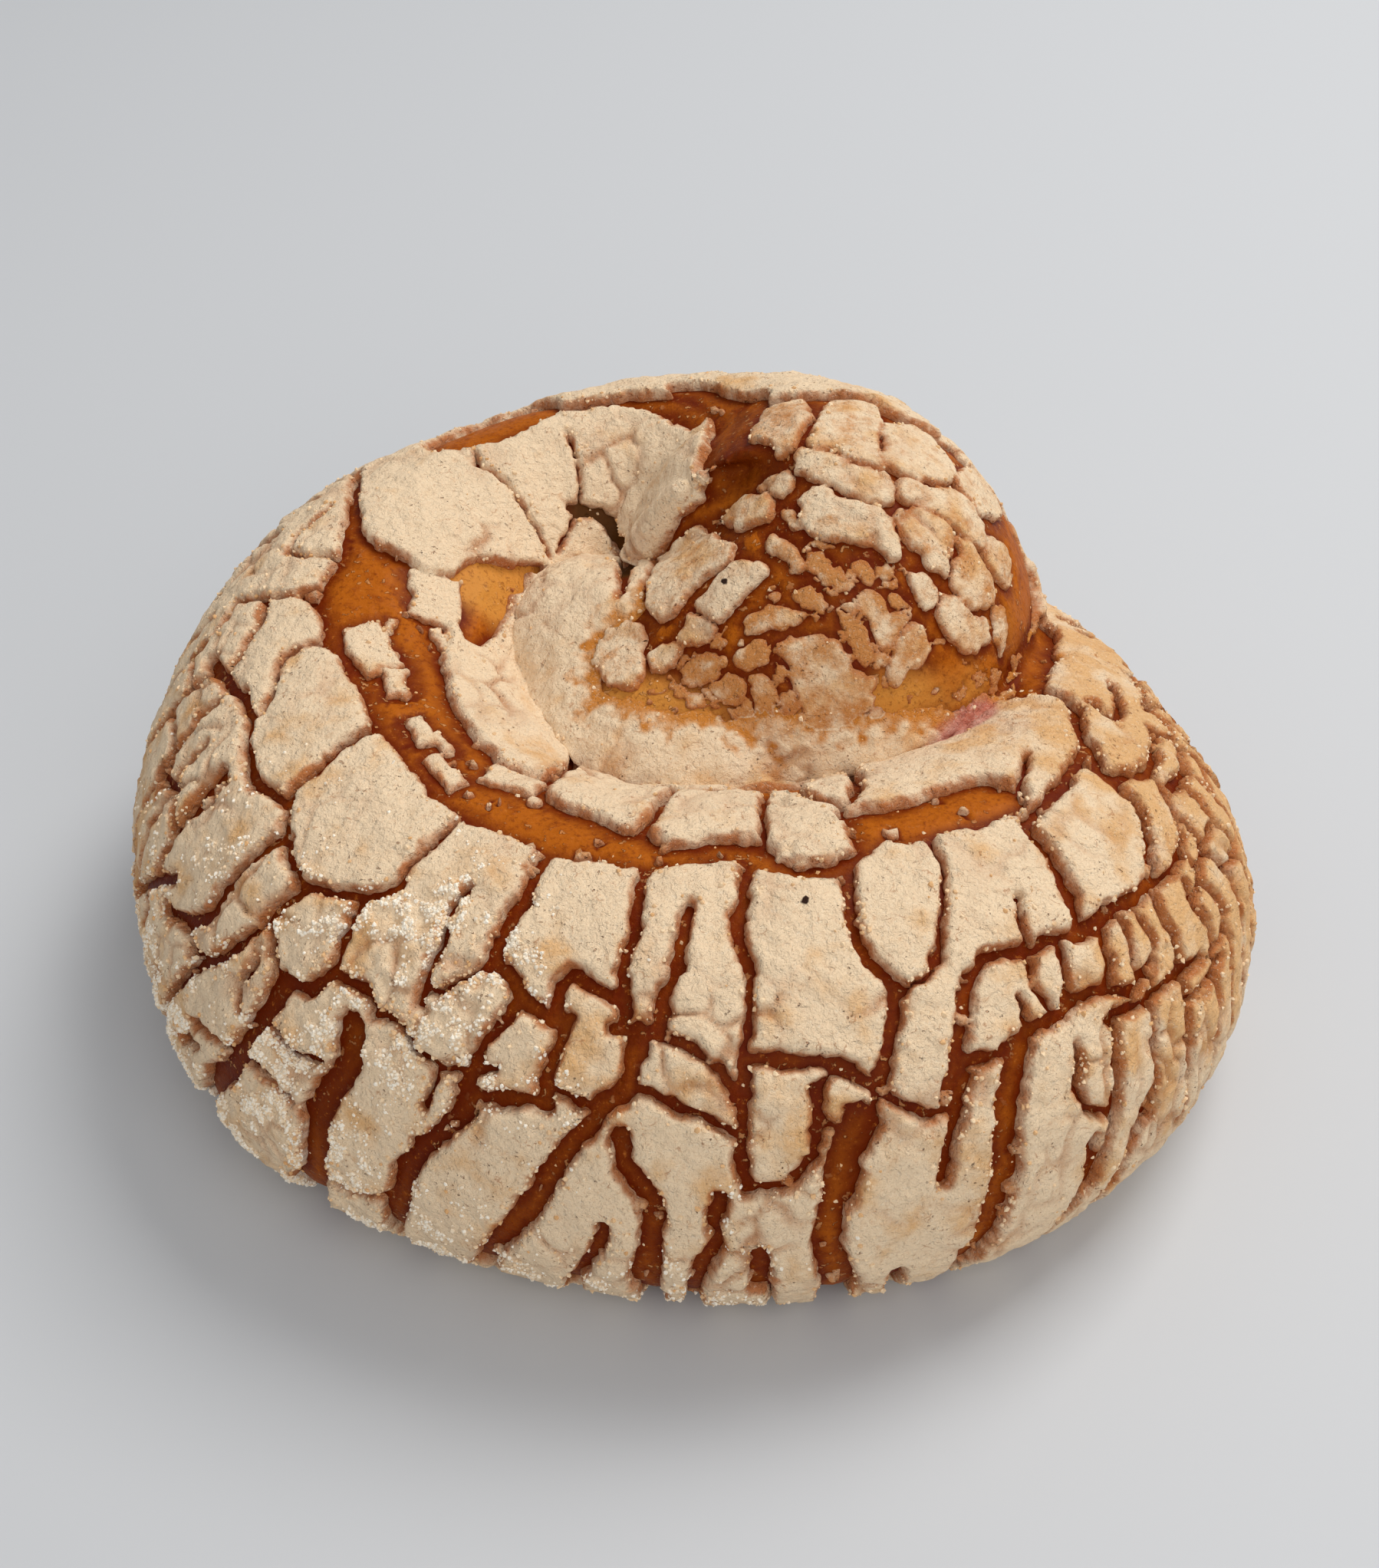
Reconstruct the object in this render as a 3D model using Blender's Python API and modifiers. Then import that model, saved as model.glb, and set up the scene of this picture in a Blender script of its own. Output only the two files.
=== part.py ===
"""Spiral sweet roll: a rope of sweet dough wound a turn and a half, under a cracked sugar crust.

The dough is swept round the spiral and fused into one skin. The crust is then raised on that skin
wherever it has not cracked open, so the roll stays one solid.
"""

import math
import random
from collections import namedtuple

import bmesh
import bpy
import numpy as np
from mathutils import Vector, noise
from mathutils.bvhtree import BVHTree

MM = 0.001

# The rope of dough in millimetres, from the tail under the knob to the tip tucked in at the middle.
# Turn is the angle round the roll in degrees, clockwise from +X.
Station = namedtuple("Station", "turn x y height half_width crown")
STATIONS = (
    Station(-40, 34, 28, 12, 12, 14),
    Station(-20, 38.5, 15, 13, 15, 17.5),
    Station(0, 40.5, 2, 13, 18, 20.5),
    Station(30, 38.5, -17.5, 13, 23, 24.5),
    Station(60, 23, -32.5, 13, 26.5, 27),
    Station(90, 1, -36, 13, 27, 27.5),
    Station(105, -10.5, -34, 13, 26.3, 27.5),
    Station(120, -20.5, -29.3, 13, 26.5, 27.5),
    Station(135, -28.2, -23.2, 13, 27.2, 28),
    Station(150, -33, -14.5, 13, 27.5, 28.5),
    Station(180, -38.5, 3, 14, 26, 29),
    Station(210, -34.5, 21, 16, 24, 30),
    Station(240, -22, 34, 17, 20, 29.5),
    Station(270, -5, 39.5, 19, 18, 29.5),
    Station(300, 10, 33.5, 22, 20.5, 30.5),
    Station(330, 16, 22.5, 24, 25, 32.5),
    Station(360, 16.5, 13, 24, 26, 33),
    Station(400, 9, 7.5, 20, 23.5, 31.5),
    Station(450, -4, 9, 15, 19.5, 27.5),
    Station(500, -14, 15, 14, 17.5, 25.5),
)
BELLY_DEPTH = 18  # the rope's lower half-height, before the base is cut flat

# The pleat where the knob turns in over the eye of the spiral: x, y, z and radius at each stop.
PLEAT = ((7, 38, 39, 12.5), (3, 31, 35, 11.5), (0, 23, 31, 9.5), (-2, 15, 27, 8))
# Dough that fills the coil inside: centre and radii of each ellipsoid.
FILLINGS = (
    ((0, 8, 4), (40, 40, 25)),
    ((2, 2, 8), (30, 27, 33.5)),
    ((9, 22, 22), (17, 17, 31)),
)
SKIN_VOXEL = 0.8  # grid that fuses the pieces of dough into one skin
SMOOTHING_ROUNDS = 6  # softens the grid's steps and the creases between turns

CRUST_THICKNESS = 1.8
CRUST_ROUNDING = 1.3  # width over which a plate's edge rises to its full thickness
RAGGEDNESS = ((0.10, 1.1), (0.33, 0.45))  # how often a crack's edge wanders, per mm, and how far, in mm
PARTING_STOPS = 12  # points that bend a parting over the rope's round side
TRIANGLES = 11200

# Where the crust never closed: strokes of bare dough, with their half width in mm at each stop.
BARE_ALONG_ROPE = (
    # the bare band along the crown of the coil, from the tail round to the far side
    (
        (45.5, 1, 2.2), (48, -2, 3.4), (53, -3, 3.9), (58, -4, 3.6), (62, -4, 3.5), (66, -7, 3.2),
        (69, 1, 0.8), (72, 4, 0.8), (75, 4.5, 1.2), (78, 3, 1.3), (81, 1, 1.5), (84, -1.5, 1.7),
        (88, -2.5, 1.6), (92, -2.5, 1.6), (96, -2, 1.8), (100, -4, 2.8), (104, -5, 3.1),
        (110, -5, 3.9), (117, -7, 3.8), (121, -8, 4.3), (125, -11, 5), (130, -10, 4.7),
        (140, -10.5, 4.5), (149, -9.5, 4.6), (156, -10.5, 4.3), (165, -12, 5.2), (174, -12.5, 5.7),
        (180, -11.5, 7), (186, -8, 6.5), (193, -7, 4.6), (197, -4, 2.6), (202, 1.5, 1.4),
        (208, 8, 0.9), (214, 16, 0.7), (220, 26, 0.6),
    ),
    # under the far plates, and the brown strip behind them
    ((186, -34, 1.5), (193, -35, 2.5), (200, -34.5, 2.8), (207, -35.5, 2.3), (220, -41, 1.2)),
    (
        (233, 10, 2.5), (237, 13, 4.8), (243, 13, 5.3), (249, 12, 4.8), (254, 5, 1.4), (262, 0, 0.9),
        (268, -1.5, 1), (274, -5, 1.5), (281, -8.5, 1.8), (290, -14, 1.8),
    ),
    # the ledge in front of the knob, and the tail's brown shoulder
    ((71, -38, 2.6), (76, -36, 3.2), (82, -38, 2.6)),
    ((-14, 8, 2), (-6, 2, 1.8), (2, -6, 2), (9, -8, 1.6)),
    # the knob's far flank
    ((292, 30, 5), (305, 48, 9), (322, 52, 10), (338, 54, 9)),
)
BARE_IN_PLAN = (
    ((0, 39.5, 1.2), (4, 36, 1.5), (7, 31, 1.8), (7.4, 25, 1.9), (7.4, 19, 1.8)),
    ((13, 34, 5), (12, 26, 4), (14, 18, 5.5), (14, 8, 9), (12, 1, 7.5), (5, -2, 5.5)),
    ((22, 34, 9), (26, 24, 9), (26, 14, 11), (25, 4, 9.5), (21, -2, 5.5)),
    ((33, 22, 6), (37, 12, 4.5), (36, 4, 4), (31, -3, 3)),
    ((3, 8, 6), (0, 1, 3.6)),
)

# The crust splits into rows of plates. A row lies between two angles across the rope, counted outwards
# from the crown. Each of its partings has the turn at its top, the turn at its foot and its gape in mm.
Row = namedtuple("Row", "top foot partings")
ROWS = {
    "large plates outside the bare band": Row(
        0,
        34,
        (
            (47.8, 51.5, 1), (59.8, 68, 0.6), (73.4, 70.8, 1), (84.4, 85.8, 0.9),
            (96.9, 97.2, 1), (109.8, 110.4, 1.3),
        ),
    ),
    "large plates round the left side": Row(
        0,
        24,
        ((124, 125, 0.7), (149.7, 145.2, 1), (175, 164.5, 0.6), (186, 187.5, 0.6), (196, 199, 0.6)),
    ),
    "small plates of the middle row": Row(
        35,
        52,
        (
            (50, 52.5, 0.8), (54.3, 57.2, 0.8), (64.4, 67.5, 1), (71, 74.5, 1.1), (79.2, 79.4, 1.2),
            (85.7, 86, 1.4), (91.5, 94, 0.8), (96, 96.5, 1.4), (102.6, 104.2, 1.1), (107.3, 109.5, 1),
            (116, 116, 0.8), (128.3, 127.4, 0.9), (134.6, 137.4, 0.9), (140.7, 142, 1.2), (156, 159, 0.8),
            (172, 169, 0.7),
        ),
    ),
    "strips that fan out down to the base": Row(
        54,
        128,
        (
            (43, 47, 0.8), (48, 52, 0.8), (53, 57.5, 0.9), (57, 62, 0.8), (63, 69, 1.7), (70, 73, 0.9),
            (76.2, 78.2, 2.2), (84.9, 83.4, 0.9), (88, 91.4, 1.1), (96.4, 94.8, 1.5), (98.3, 102, 1),
            (98.5, 110, 1.4), (109, 118, 1.6), (123, 130, 2.1), (131.4, 142, 1.8), (141, 156, 1),
            (150, 170, 1.2),
        ),
    ),
    "narrow strips of the right flank": Row(
        40,
        112,
        ((22.6, 25, 0.7), (26.2, 29, 0.7), (30, 33, 0.7), (33.5, 37.4, 0.7), (37, 42, 0.7)),
    ),
    "plates of the inner slope": Row(
        -4,
        -28,
        ((68.4, 66, 0.9), (82, 80.4, 0.8), (99.3, 96.5, 0.9), (254, 251, 0.6)),
    ),
}
# Cracks between the rows: the gape in mm, then the stops as turn and angle across.
SEAMS = (
    (1, (10, -13), (18, 5), (34, 8.6), (47, 9)),
    (0.8, (15, 9), (18, 16), (7, 21)),
    (0.9, (27, 9), (32, 18), (26, 27), (20, 28)),
    (0.8, (3, 36), (12, 33), (27, 32), (34, 39)),
    (1, (32, 38), (43, 38), (52, 34), (62, 32), (70.8, 35), (74.5, 51), (80, 44.5), (86, 42.5), (98, 38)),
    (1, (98, 32), (102.6, 29), (104.2, 38), (110, 29), (116, 38)),
    (1, (125, 22), (131, 28.5), (135.5, 33), (144, 24), (152, 28), (164.5, 23), (173, 26), (181, 34)),
    (1, (40, 60), (49.5, 53), (58, 49), (66.5, 50), (70.8, 58), (74.5, 51.5), (77.6, 59), (85.4, 69)),
    (0.8, (86.3, 58), (92.5, 52.5), (101, 53), (109.5, 56), (117, 47), (131.5, 50)),
    (1, (137.6, 53), (142, 60), (153, 63), (161, 69)),
    (0.8, (52, -45), (63, -24), (69, -14), (75, -28), (85, -33), (97, -32), (110, -42), (120, -44)),
    (0.9, (118, -15), (121, -31), (130, -45), (152, -50)),
    (0.8, (196, -15), (201, -27), (219, -38), (230, -43)),
    (0.7, (240, -43), (251, -36), (262, -46)),
)
# Plates on the bare dough: turn, across, length along the rope, width across it, and lean in degrees.
FLAKES_ALONG_ROPE = (
    (124.5, -17, 6.4, 3.4, 8), (136, -8, 5.2, 2.3, 0), (143.5, -12, 3.6, 1.3, 8),
    (147, -9, 4.6, 2.2, -3), (160.5, -10.6, 4.6, 2.2, -16), (172, -8, 8.2, 4.4, 14),
    (181, -24, 1.8, 1.4, 0), (192, -22.5, 7, 6.2, 4), (180, -12.5, 2, 1.1, 0), (174, -27, 6, 1.6, 4),
    (118, -13, 1.4, 1.2, 0), (75, -6, 7.6, 5.6, -6), (77.6, -21, 3.2, 5.2, 0), (64, -3, 1.5, 1, 0),
    (104, -5, 1, 0.8, 0), (128, -7, 1, 0.7, 0),
)
# The same on the knob, placed by x and y as seen from above.
FLAKES_IN_PLAN = (
    (12.3, 19.5, 6.4, 11, 4), (19.5, 16.4, 6.4, 12, -4), (26.9, 15.2, 7, 11, -6),
    (34.2, 15.4, 5.4, 8.6, -12), (13.8, 12.2, 5.6, 3.6, -10), (19.7, 8.2, 8.6, 5, -16),
    (28.6, 8.4, 8.8, 5.8, -8), (35, 8, 4, 7, -10), (18.4, 3.8, 11, 5.6, -24),
    (28.8, 3, 10.4, 6.6, -14), (26.4, -1.6, 3, 3.6, 0), (30.8, -2.6, 6, 5.2, -10),
    (7.6, 11.4, 4.6, 8.6, 34), (1.2, 8, 6.6, 12.4, 18), (4.2, 0.6, 9, 4.6, 24),
    (11.3, 2.5, 2.6, 5.6, 32), (-1.2, -2.8, 3, 3.6, 10), (1.4, -5.4, 3, 3.8, 0),
    (7.5, -4, 3.6, 2.4, 8), (10.3, -2.4, 2.2, 2.4, 0), (15.5, -1.4, 4.2, 3.4, -28),
    (13, -3.6, 2.4, 2.6, 0), (6.4, -7, 4.6, 4.8, -30), (12, -8, 5, 4, -20), (12, -5.2, 3.4, 2.2, 6),
    (17.2, -7, 4, 5.6, 20), (21.2, -5, 4, 3.8, 24), (20.4, -1, 5, 2.4, 4), (24.4, -6, 5.2, 5.6, 22),
    (16.8, -4, 2.4, 2, 0), (-10.8, -0.5, 4.4, 9, 6), (-6, -1, 4.8, 9.4, 4), (10.4, 25, 4, 4, 0),
    (8.5, 16, 1.2, 1.4, 0),
)

# Where no side of the roll was seen, cracks follow a rule: strips down the flank, cut across here and
# there. Each flank has its first and last turn and the width of a strip, in degrees.
HIDDEN_FLANKS = ((-34, 21, 3.6), (158, 246, 6.5), (250, 338, 7.5))
HIDDEN_KNOB = ((288, 348), (16, 78), (9, 15))  # turns, angles across, and a plate's size in each
HIDDEN_TOPS, HIDDEN_FOOT = (26, 44), 126  # where a hidden crack starts and ends, in degrees across
HIDDEN_GAPES, LINK_GAPES = (0.5, 1.3), (0.4, 0.9)  # of those cracks and of the short links, in mm
HIDDEN_LEAN = 2  # how far such a crack leans halfway down, in degrees of turn
LINK_LEVELS, LINK_CHANCE, LINK_WANDER = (48, 72, 96), 0.7, (9, 7)  # degrees across, share, degrees
BRICK_LENGTHS, BRICK_WIDTHS, BRICK_LEAN = (4.5, 6.5), (5, 7), 12  # mm, mm, degrees
BRICK_WANDER, BRICK_STAGGER = (1.5, 2), 4  # degrees of turn and across; degrees of turn
SEED = 11

# How finely the shapes are worked out. None of these is a size of the roll.
RING_STEP, AROUND_STEP = 3.0, 6.0  # degrees between the rope's rings, and between points round it
END_RINGS = (25, 50, 70, 84)  # degrees round the dome at each end of the rope
PLEAT_STEPS = 16
FAR_ABOVE = 200  # a height in mm from which the whole skin is seen
POINTS_AT_A_TIME = 4000
BASE_TOLERANCE, LOWEST_CRUST = 0.01, 0.02  # mm over the base


def interpolated(at, stops, values):
    """A smooth curve through values at stops, read at each place in at."""
    tangents = np.gradient(values, stops, axis=0)
    i = np.clip(np.searchsorted(stops, at, side="right") - 1, 0, len(stops) - 2)
    step = (stops[i + 1] - stops[i])[:, None]
    s = (at - stops[i])[:, None] / step
    return (
        (2 * s**3 - 3 * s**2 + 1) * values[i]
        + (s**3 - 2 * s**2 + s) * step * tangents[i]
        + (3 * s**2 - 2 * s**3) * values[i + 1]
        + (s**3 - s**2) * step * tangents[i + 1]
    )


def rope_points(turn, across):
    """Points on the rope. Across is the angle from the crown in degrees, positive towards the outside."""
    turn, across = np.broadcast_arrays(np.asarray(turn, float), np.radians(across))
    stops = np.array([s.turn for s in STATIONS], float)
    values = np.array([s[1:] for s in STATIONS], float)
    at = turn.ravel()
    x, y, height, half_width, crown = interpolated(at, stops, values).T
    ahead = interpolated(at + 0.5, stops, values)[:, :2]
    behind = interpolated(at - 0.5, stops, values)[:, :2]
    along = (ahead - behind) / np.linalg.norm(ahead - behind, axis=1)[:, None]
    side, up = np.sin(across).ravel(), np.cos(across).ravel()
    vertical = np.where(up > 0, crown, BELLY_DEPTH) * up
    points = (x - along[:, 1] * half_width * side, y + along[:, 0] * half_width * side, height + vertical)
    return np.stack(points, axis=-1).reshape(turn.shape + (3,))


def tube(rings):
    """The points and faces of a closed tube through rings of points."""
    count, around = rings.shape[:2]
    points = [*rings.reshape(-1, 3), rings[0].mean(axis=0), rings[-1].mean(axis=0)]
    first, last = count * around, count * around + 1
    faces = []
    for j in range(around):
        k = (j + 1) % around
        for i in range(count - 1):
            faces.append((i * around + j, i * around + k, (i + 1) * around + k, (i + 1) * around + j))
        faces.append((first, k, j))
        faces.append((last, (count - 1) * around + j, (count - 1) * around + k))
    return points, faces


def object_of(name, points, faces):
    mesh = bpy.data.meshes.new(name)
    mesh.from_pydata([tuple(p) for p in points], [], faces)
    obj = bpy.data.objects.new(name, mesh)
    bpy.context.scene.collection.objects.link(obj)
    return obj


def evaluated_mesh(obj):
    graph = bpy.context.evaluated_depsgraph_get()
    return bpy.data.meshes.new_from_object(obj.evaluated_get(graph))


def rounded_end(ring, inner_ring):
    """Rings that shrink from an end of the rope to close it with a dome."""
    centre = ring.mean(axis=0)
    heading = centre - inner_ring.mean(axis=0)
    heading /= np.linalg.norm(heading)
    reach = 0.5 * np.linalg.norm(ring - centre, axis=1).mean()
    return [
        centre + (ring - centre) * math.cos(a) + heading * reach * math.sin(a)
        for a in np.radians(END_RINGS)
    ]


def rope_of_dough():
    """The coiled rope, with a dome at its tail and at its tip."""
    turns = np.arange(STATIONS[0].turn, STATIONS[-1].turn + 1, RING_STEP)
    rings = rope_points(turns[:, None], np.arange(-180, 180, AROUND_STEP)[None, :])
    tail = rounded_end(rings[0], rings[1])[::-1]
    tip = rounded_end(rings[-1], rings[-2])
    return object_of("rope", *tube(np.concatenate([tail, rings, tip])))


def pleat_of_dough():
    """The fold of dough that hangs from the knob into the eye."""
    stops = np.arange(len(PLEAT), dtype=float)
    path = interpolated(np.linspace(0, stops[-1], PLEAT_STEPS), stops, np.array(PLEAT, float))
    curve = bpy.data.curves.new("pleat", "CURVE")
    curve.dimensions = "3D"
    curve.bevel_depth = 1
    curve.bevel_resolution = 4
    curve.use_fill_caps = True
    spline = curve.splines.new("POLY")
    spline.points.add(len(path) - 1)
    for point, (x, y, z, radius) in zip(spline.points, path):
        point.co = (x, y, z, 1)
        point.radius = radius
    guide = bpy.data.objects.new("pleat_curve", curve)
    bpy.context.scene.collection.objects.link(guide)
    pleat = bpy.data.objects.new("pleat", evaluated_mesh(guide))
    bpy.context.scene.collection.objects.link(pleat)
    bpy.data.objects.remove(guide)
    return pleat


def filling_of_dough(centre, radii):
    bpy.ops.mesh.primitive_uv_sphere_add(segments=48, ring_count=24, radius=1, location=centre)
    ball = bpy.context.object
    ball.scale = radii
    bpy.ops.object.transform_apply(location=False, rotation=False, scale=True)
    return ball


def remove_bubbles(bm):
    """Takes out the bubbles shut in between the pieces of dough, so only the outer skin is left."""
    outer = {max(bm.verts, key=lambda v: v.co.z)}
    front = list(outer)
    while front:
        around = {e.other_vert(v) for v in front for e in v.link_edges} - outer
        outer |= around
        front = list(around)
    bmesh.ops.delete(bm, geom=[v for v in bm.verts if v not in outer], context="VERTS")


def cut_flat(mesh):
    """Cuts off what is below the base, and closes the cut with a flat face."""
    bm = bmesh.new()
    bm.from_mesh(mesh)
    remove_bubbles(bm)
    everything = [*bm.verts, *bm.edges, *bm.faces]
    cut = bmesh.ops.bisect_plane(bm, geom=everything, plane_no=(0, 0, 1), clear_inner=True)
    rim = [e for e in cut["geom_cut"] if isinstance(e, bmesh.types.BMEdge)]
    bmesh.ops.edgeloop_fill(bm, edges=rim)
    bmesh.ops.triangulate(bm, faces=bm.faces)
    bmesh.ops.recalc_face_normals(bm, faces=bm.faces)
    bm.to_mesh(mesh)
    bm.free()


def fused_dough():
    """One smooth closed skin round every piece of dough, standing on a flat base."""
    pieces = [rope_of_dough(), pleat_of_dough(), *(filling_of_dough(*f) for f in FILLINGS)]
    bpy.ops.object.select_all(action="DESELECT")
    for piece in pieces:
        piece.select_set(True)
    bpy.context.view_layer.objects.active = pieces[0]
    bpy.ops.object.join()
    dough = pieces[0]
    bm = bmesh.new()
    bm.from_mesh(dough.data)
    bmesh.ops.recalc_face_normals(bm, faces=bm.faces)
    bm.to_mesh(dough.data)
    bm.free()
    fuse = dough.modifiers.new("Fuse", "REMESH")
    fuse.mode = "VOXEL"
    fuse.voxel_size = SKIN_VOXEL
    soften = dough.modifiers.new("Soften", "SMOOTH")
    soften.factor = 0.5
    soften.iterations = SMOOTHING_ROUNDS
    mesh = evaluated_mesh(dough)
    bpy.data.objects.remove(dough)
    cut_flat(mesh)
    return mesh


def hidden_cracks():
    """Cracks for the flanks that no view showed: they run down the flank, with short links."""
    rng = random.Random(SEED)
    cracks = []
    for first, last, width in HIDDEN_FLANKS:
        turn = first
        while turn < last:
            lean = rng.uniform(-HIDDEN_LEAN, HIDDEN_LEAN)
            top = rng.uniform(*HIDDEN_TOPS)
            gape = rng.uniform(*HIDDEN_GAPES)
            cracks.append((gape, (turn, top), (turn + lean, 75), (turn + 1.6 * lean, HIDDEN_FOOT)))
            for level in LINK_LEVELS:
                if rng.random() < LINK_CHANCE:
                    across = level + rng.uniform(-LINK_WANDER[0], LINK_WANDER[0])
                    beyond = (turn + width, across + rng.uniform(-LINK_WANDER[1], LINK_WANDER[1]))
                    cracks.append((rng.uniform(*LINK_GAPES), (turn, across), beyond))
            turn += width * rng.uniform(0.75, 1.25)
    return cracks


def hidden_flakes():
    """Bricks of crust over the knob's far flank."""
    rng = random.Random(SEED)
    turns, across, size = HIDDEN_KNOB
    flakes = []
    for row, a in enumerate(np.arange(*across, size[1])):
        for t in np.arange(turns[0] + BRICK_STAGGER * (row % 2), turns[1], size[0]):
            turn = t + rng.uniform(-BRICK_WANDER[0], BRICK_WANDER[0])
            level = a + rng.uniform(-BRICK_WANDER[1], BRICK_WANDER[1])
            length, width = rng.uniform(*BRICK_LENGTHS), rng.uniform(*BRICK_WIDTHS)
            flakes.append((turn, level, length, width, rng.uniform(-BRICK_LEAN, BRICK_LEAN)))
    return flakes


def stroke(points, half_widths):
    """Samples every half millimetre along a line, each with its half width."""
    samples = []
    for a, b, wide_a, wide_b in zip(points, points[1:], half_widths, half_widths[1:]):
        s = np.linspace(0, 1, 2 + int(2 * np.linalg.norm(b - a)))[:, None]
        samples.append(np.hstack([a + (b - a) * s, wide_a + (wide_b - wide_a) * s]))
    return np.concatenate(samples)


def gaps_in_crust(skin):
    """Every crack and bare stretch, as samples on the skin with their half widths."""
    strokes = []
    for row in ROWS.values():
        across = np.linspace(row.top, row.foot, PARTING_STOPS)
        for at_top, at_foot, gape in row.partings:
            turn = np.linspace(at_top, at_foot, PARTING_STOPS)
            strokes.append(stroke(rope_points(turn, across), [gape / 2] * PARTING_STOPS))
    for gape, *stops in [*SEAMS, *hidden_cracks()]:
        turn, across = np.array(stops, float).T
        strokes.append(stroke(rope_points(turn, across), [gape / 2] * len(stops)))
    for stops in BARE_ALONG_ROPE:
        turn, across, half_width = np.array(stops, float).T
        strokes.append(stroke(rope_points(turn, across), half_width))
    for stops in BARE_IN_PLAN:
        points = np.array([seen_from_above(skin, x, y)[0] for x, y, _ in stops])
        strokes.append(stroke(points, [half_width for _, _, half_width in stops]))
    gaps = np.concatenate(strokes)
    gaps[:, :3] = [skin.find_nearest(Vector(p))[0] for p in gaps[:, :3]]
    return gaps


def seen_from_above(skin, x, y):
    """The point of the skin over x, y, and its normal there."""
    point, normal, _, _ = skin.ray_cast(Vector((x, y, FAR_ABOVE)), Vector((0, 0, -1)))
    return np.array(point), np.array(normal)


def flakes_of_crust(skin):
    """Each flake as its centre, its two axes, its half length and its half width."""
    flakes = []
    for turn, across, length, width, lean in [*FLAKES_ALONG_ROPE, *hidden_flakes()]:
        centre, ahead = rope_points([turn, turn + 1], across)
        place, normal, _, _ = skin.find_nearest(Vector(centre))
        flakes.append((np.array(place), ahead - centre, np.array(normal), length, width, lean))
    for x, y, length, width, lean in FLAKES_IN_PLAN:
        centre, normal = seen_from_above(skin, x, y)
        flakes.append((centre, np.array((1.0, 0, 0)), normal, length, width, lean))
    for centre, along, normal, length, width, lean in flakes:
        normal = normal / np.linalg.norm(normal)
        along = along - normal * along.dot(normal)
        along /= np.linalg.norm(along)
        over = np.cross(normal, along)
        c, s = math.cos(math.radians(lean)), math.sin(math.radians(lean))
        yield centre, along * c + over * s, over * c - along * s, length / 2, width / 2


def ragged(points):
    """The points pushed about by noise, so that every crack measured from them has a ragged edge."""
    noise.seed_set(SEED)
    moved = points.copy()
    for often, far in RAGGEDNESS:
        for i, p in enumerate(points):
            moved[i] += far * np.array(noise.noise_vector(Vector(p) * often))
    return moved


def depth_into_crust(points, skin):
    """How far each point is inside a plate of crust, in mm; below zero it is on bare dough."""
    points = ragged(points)
    gaps = gaps_in_crust(skin)
    centres, half_widths = gaps[:, :3], gaps[:, 3]
    depth = np.empty(len(points))
    for part in np.array_split(np.arange(len(points)), 1 + len(points) // POINTS_AT_A_TIME):
        p = points[part]
        squares = (p**2).sum(axis=1)[:, None] + (centres**2).sum(axis=1)[None, :] - 2 * p @ centres.T
        depth[part] = (np.sqrt(np.maximum(squares, 0)) - half_widths).min(axis=1)
    for centre, along, over, half_length, half_width in flakes_of_crust(skin):
        offset = points - centre
        inside = np.minimum(half_length - abs(offset @ along), half_width - abs(offset @ over))
        near = np.linalg.norm(offset, axis=1) < 1.5 * max(half_length, half_width)
        depth = np.where(near, np.maximum(depth, inside), depth)
    return depth


def raise_crust(mesh):
    """Lifts the skin by the thickness of the crust wherever a plate lies on it."""
    points = np.empty(3 * len(mesh.vertices))
    normals = np.empty(3 * len(mesh.vertices))
    mesh.vertices.foreach_get("co", points)
    mesh.vertices.foreach_get("normal", normals)
    points, normals = points.reshape(-1, 3), normals.reshape(-1, 3)
    skin = BVHTree.FromPolygons([v.co for v in mesh.vertices], [p.vertices for p in mesh.polygons])
    rise = np.clip(depth_into_crust(points, skin) / CRUST_ROUNDING, 0, 1)
    lift = CRUST_THICKNESS * np.sqrt(1 - (1 - rise) ** 2)
    standing = points[:, 2] > BASE_TOLERANCE
    raised = points + normals * lift[:, None]
    raised[:, 2] = np.where(standing, np.maximum(raised[:, 2], LOWEST_CRUST), 0)
    raised[~standing] = points[~standing]
    mesh.vertices.foreach_set("co", raised.ravel())
    mesh.update()


def centred_at_real_size(mesh):
    """Brings the roll from millimetres to metres, over the origin."""
    points = np.empty(3 * len(mesh.vertices))
    mesh.vertices.foreach_get("co", points)
    points = points.reshape(-1, 3) * MM
    low, high = points.min(axis=0), points.max(axis=0)
    points -= ((low[0] + high[0]) / 2, (low[1] + high[1]) / 2, low[2])
    mesh.vertices.foreach_set("co", points.ravel())
    mesh.update()


def crust_material():
    material = bpy.data.materials.new("sugar_crust")
    material.use_nodes = True
    shader = material.node_tree.nodes["Principled BSDF"]
    shader.inputs["Base Color"].default_value = (0.72, 0.50, 0.27, 1)
    shader.inputs["Roughness"].default_value = 0.75
    return material


def main():
    for obj in list(bpy.data.objects):
        bpy.data.objects.remove(obj)
    mesh = fused_dough()
    raise_crust(mesh)
    centred_at_real_size(mesh)
    mesh.name = "sweet_roll"
    mesh.materials.append(crust_material())
    roll = bpy.data.objects.new("sweet_roll", mesh)
    collection = bpy.data.collections.new("spiral_sweet_roll")
    bpy.context.scene.collection.children.link(collection)
    collection.objects.link(roll)
    slim = roll.modifiers.new("Slim", "DECIMATE")
    slim.ratio = TRIANGLES / len(mesh.polygons)


main()
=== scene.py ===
"""The looks of a spiral sweet roll: glossy baked dough under a pale sugar crust that cracked into plates."""

import math
import random
from collections import namedtuple

import bmesh
import bpy
import numpy as np
from mathutils import Matrix, Vector, noise
from mathutils.bvhtree import BVHTree


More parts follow.
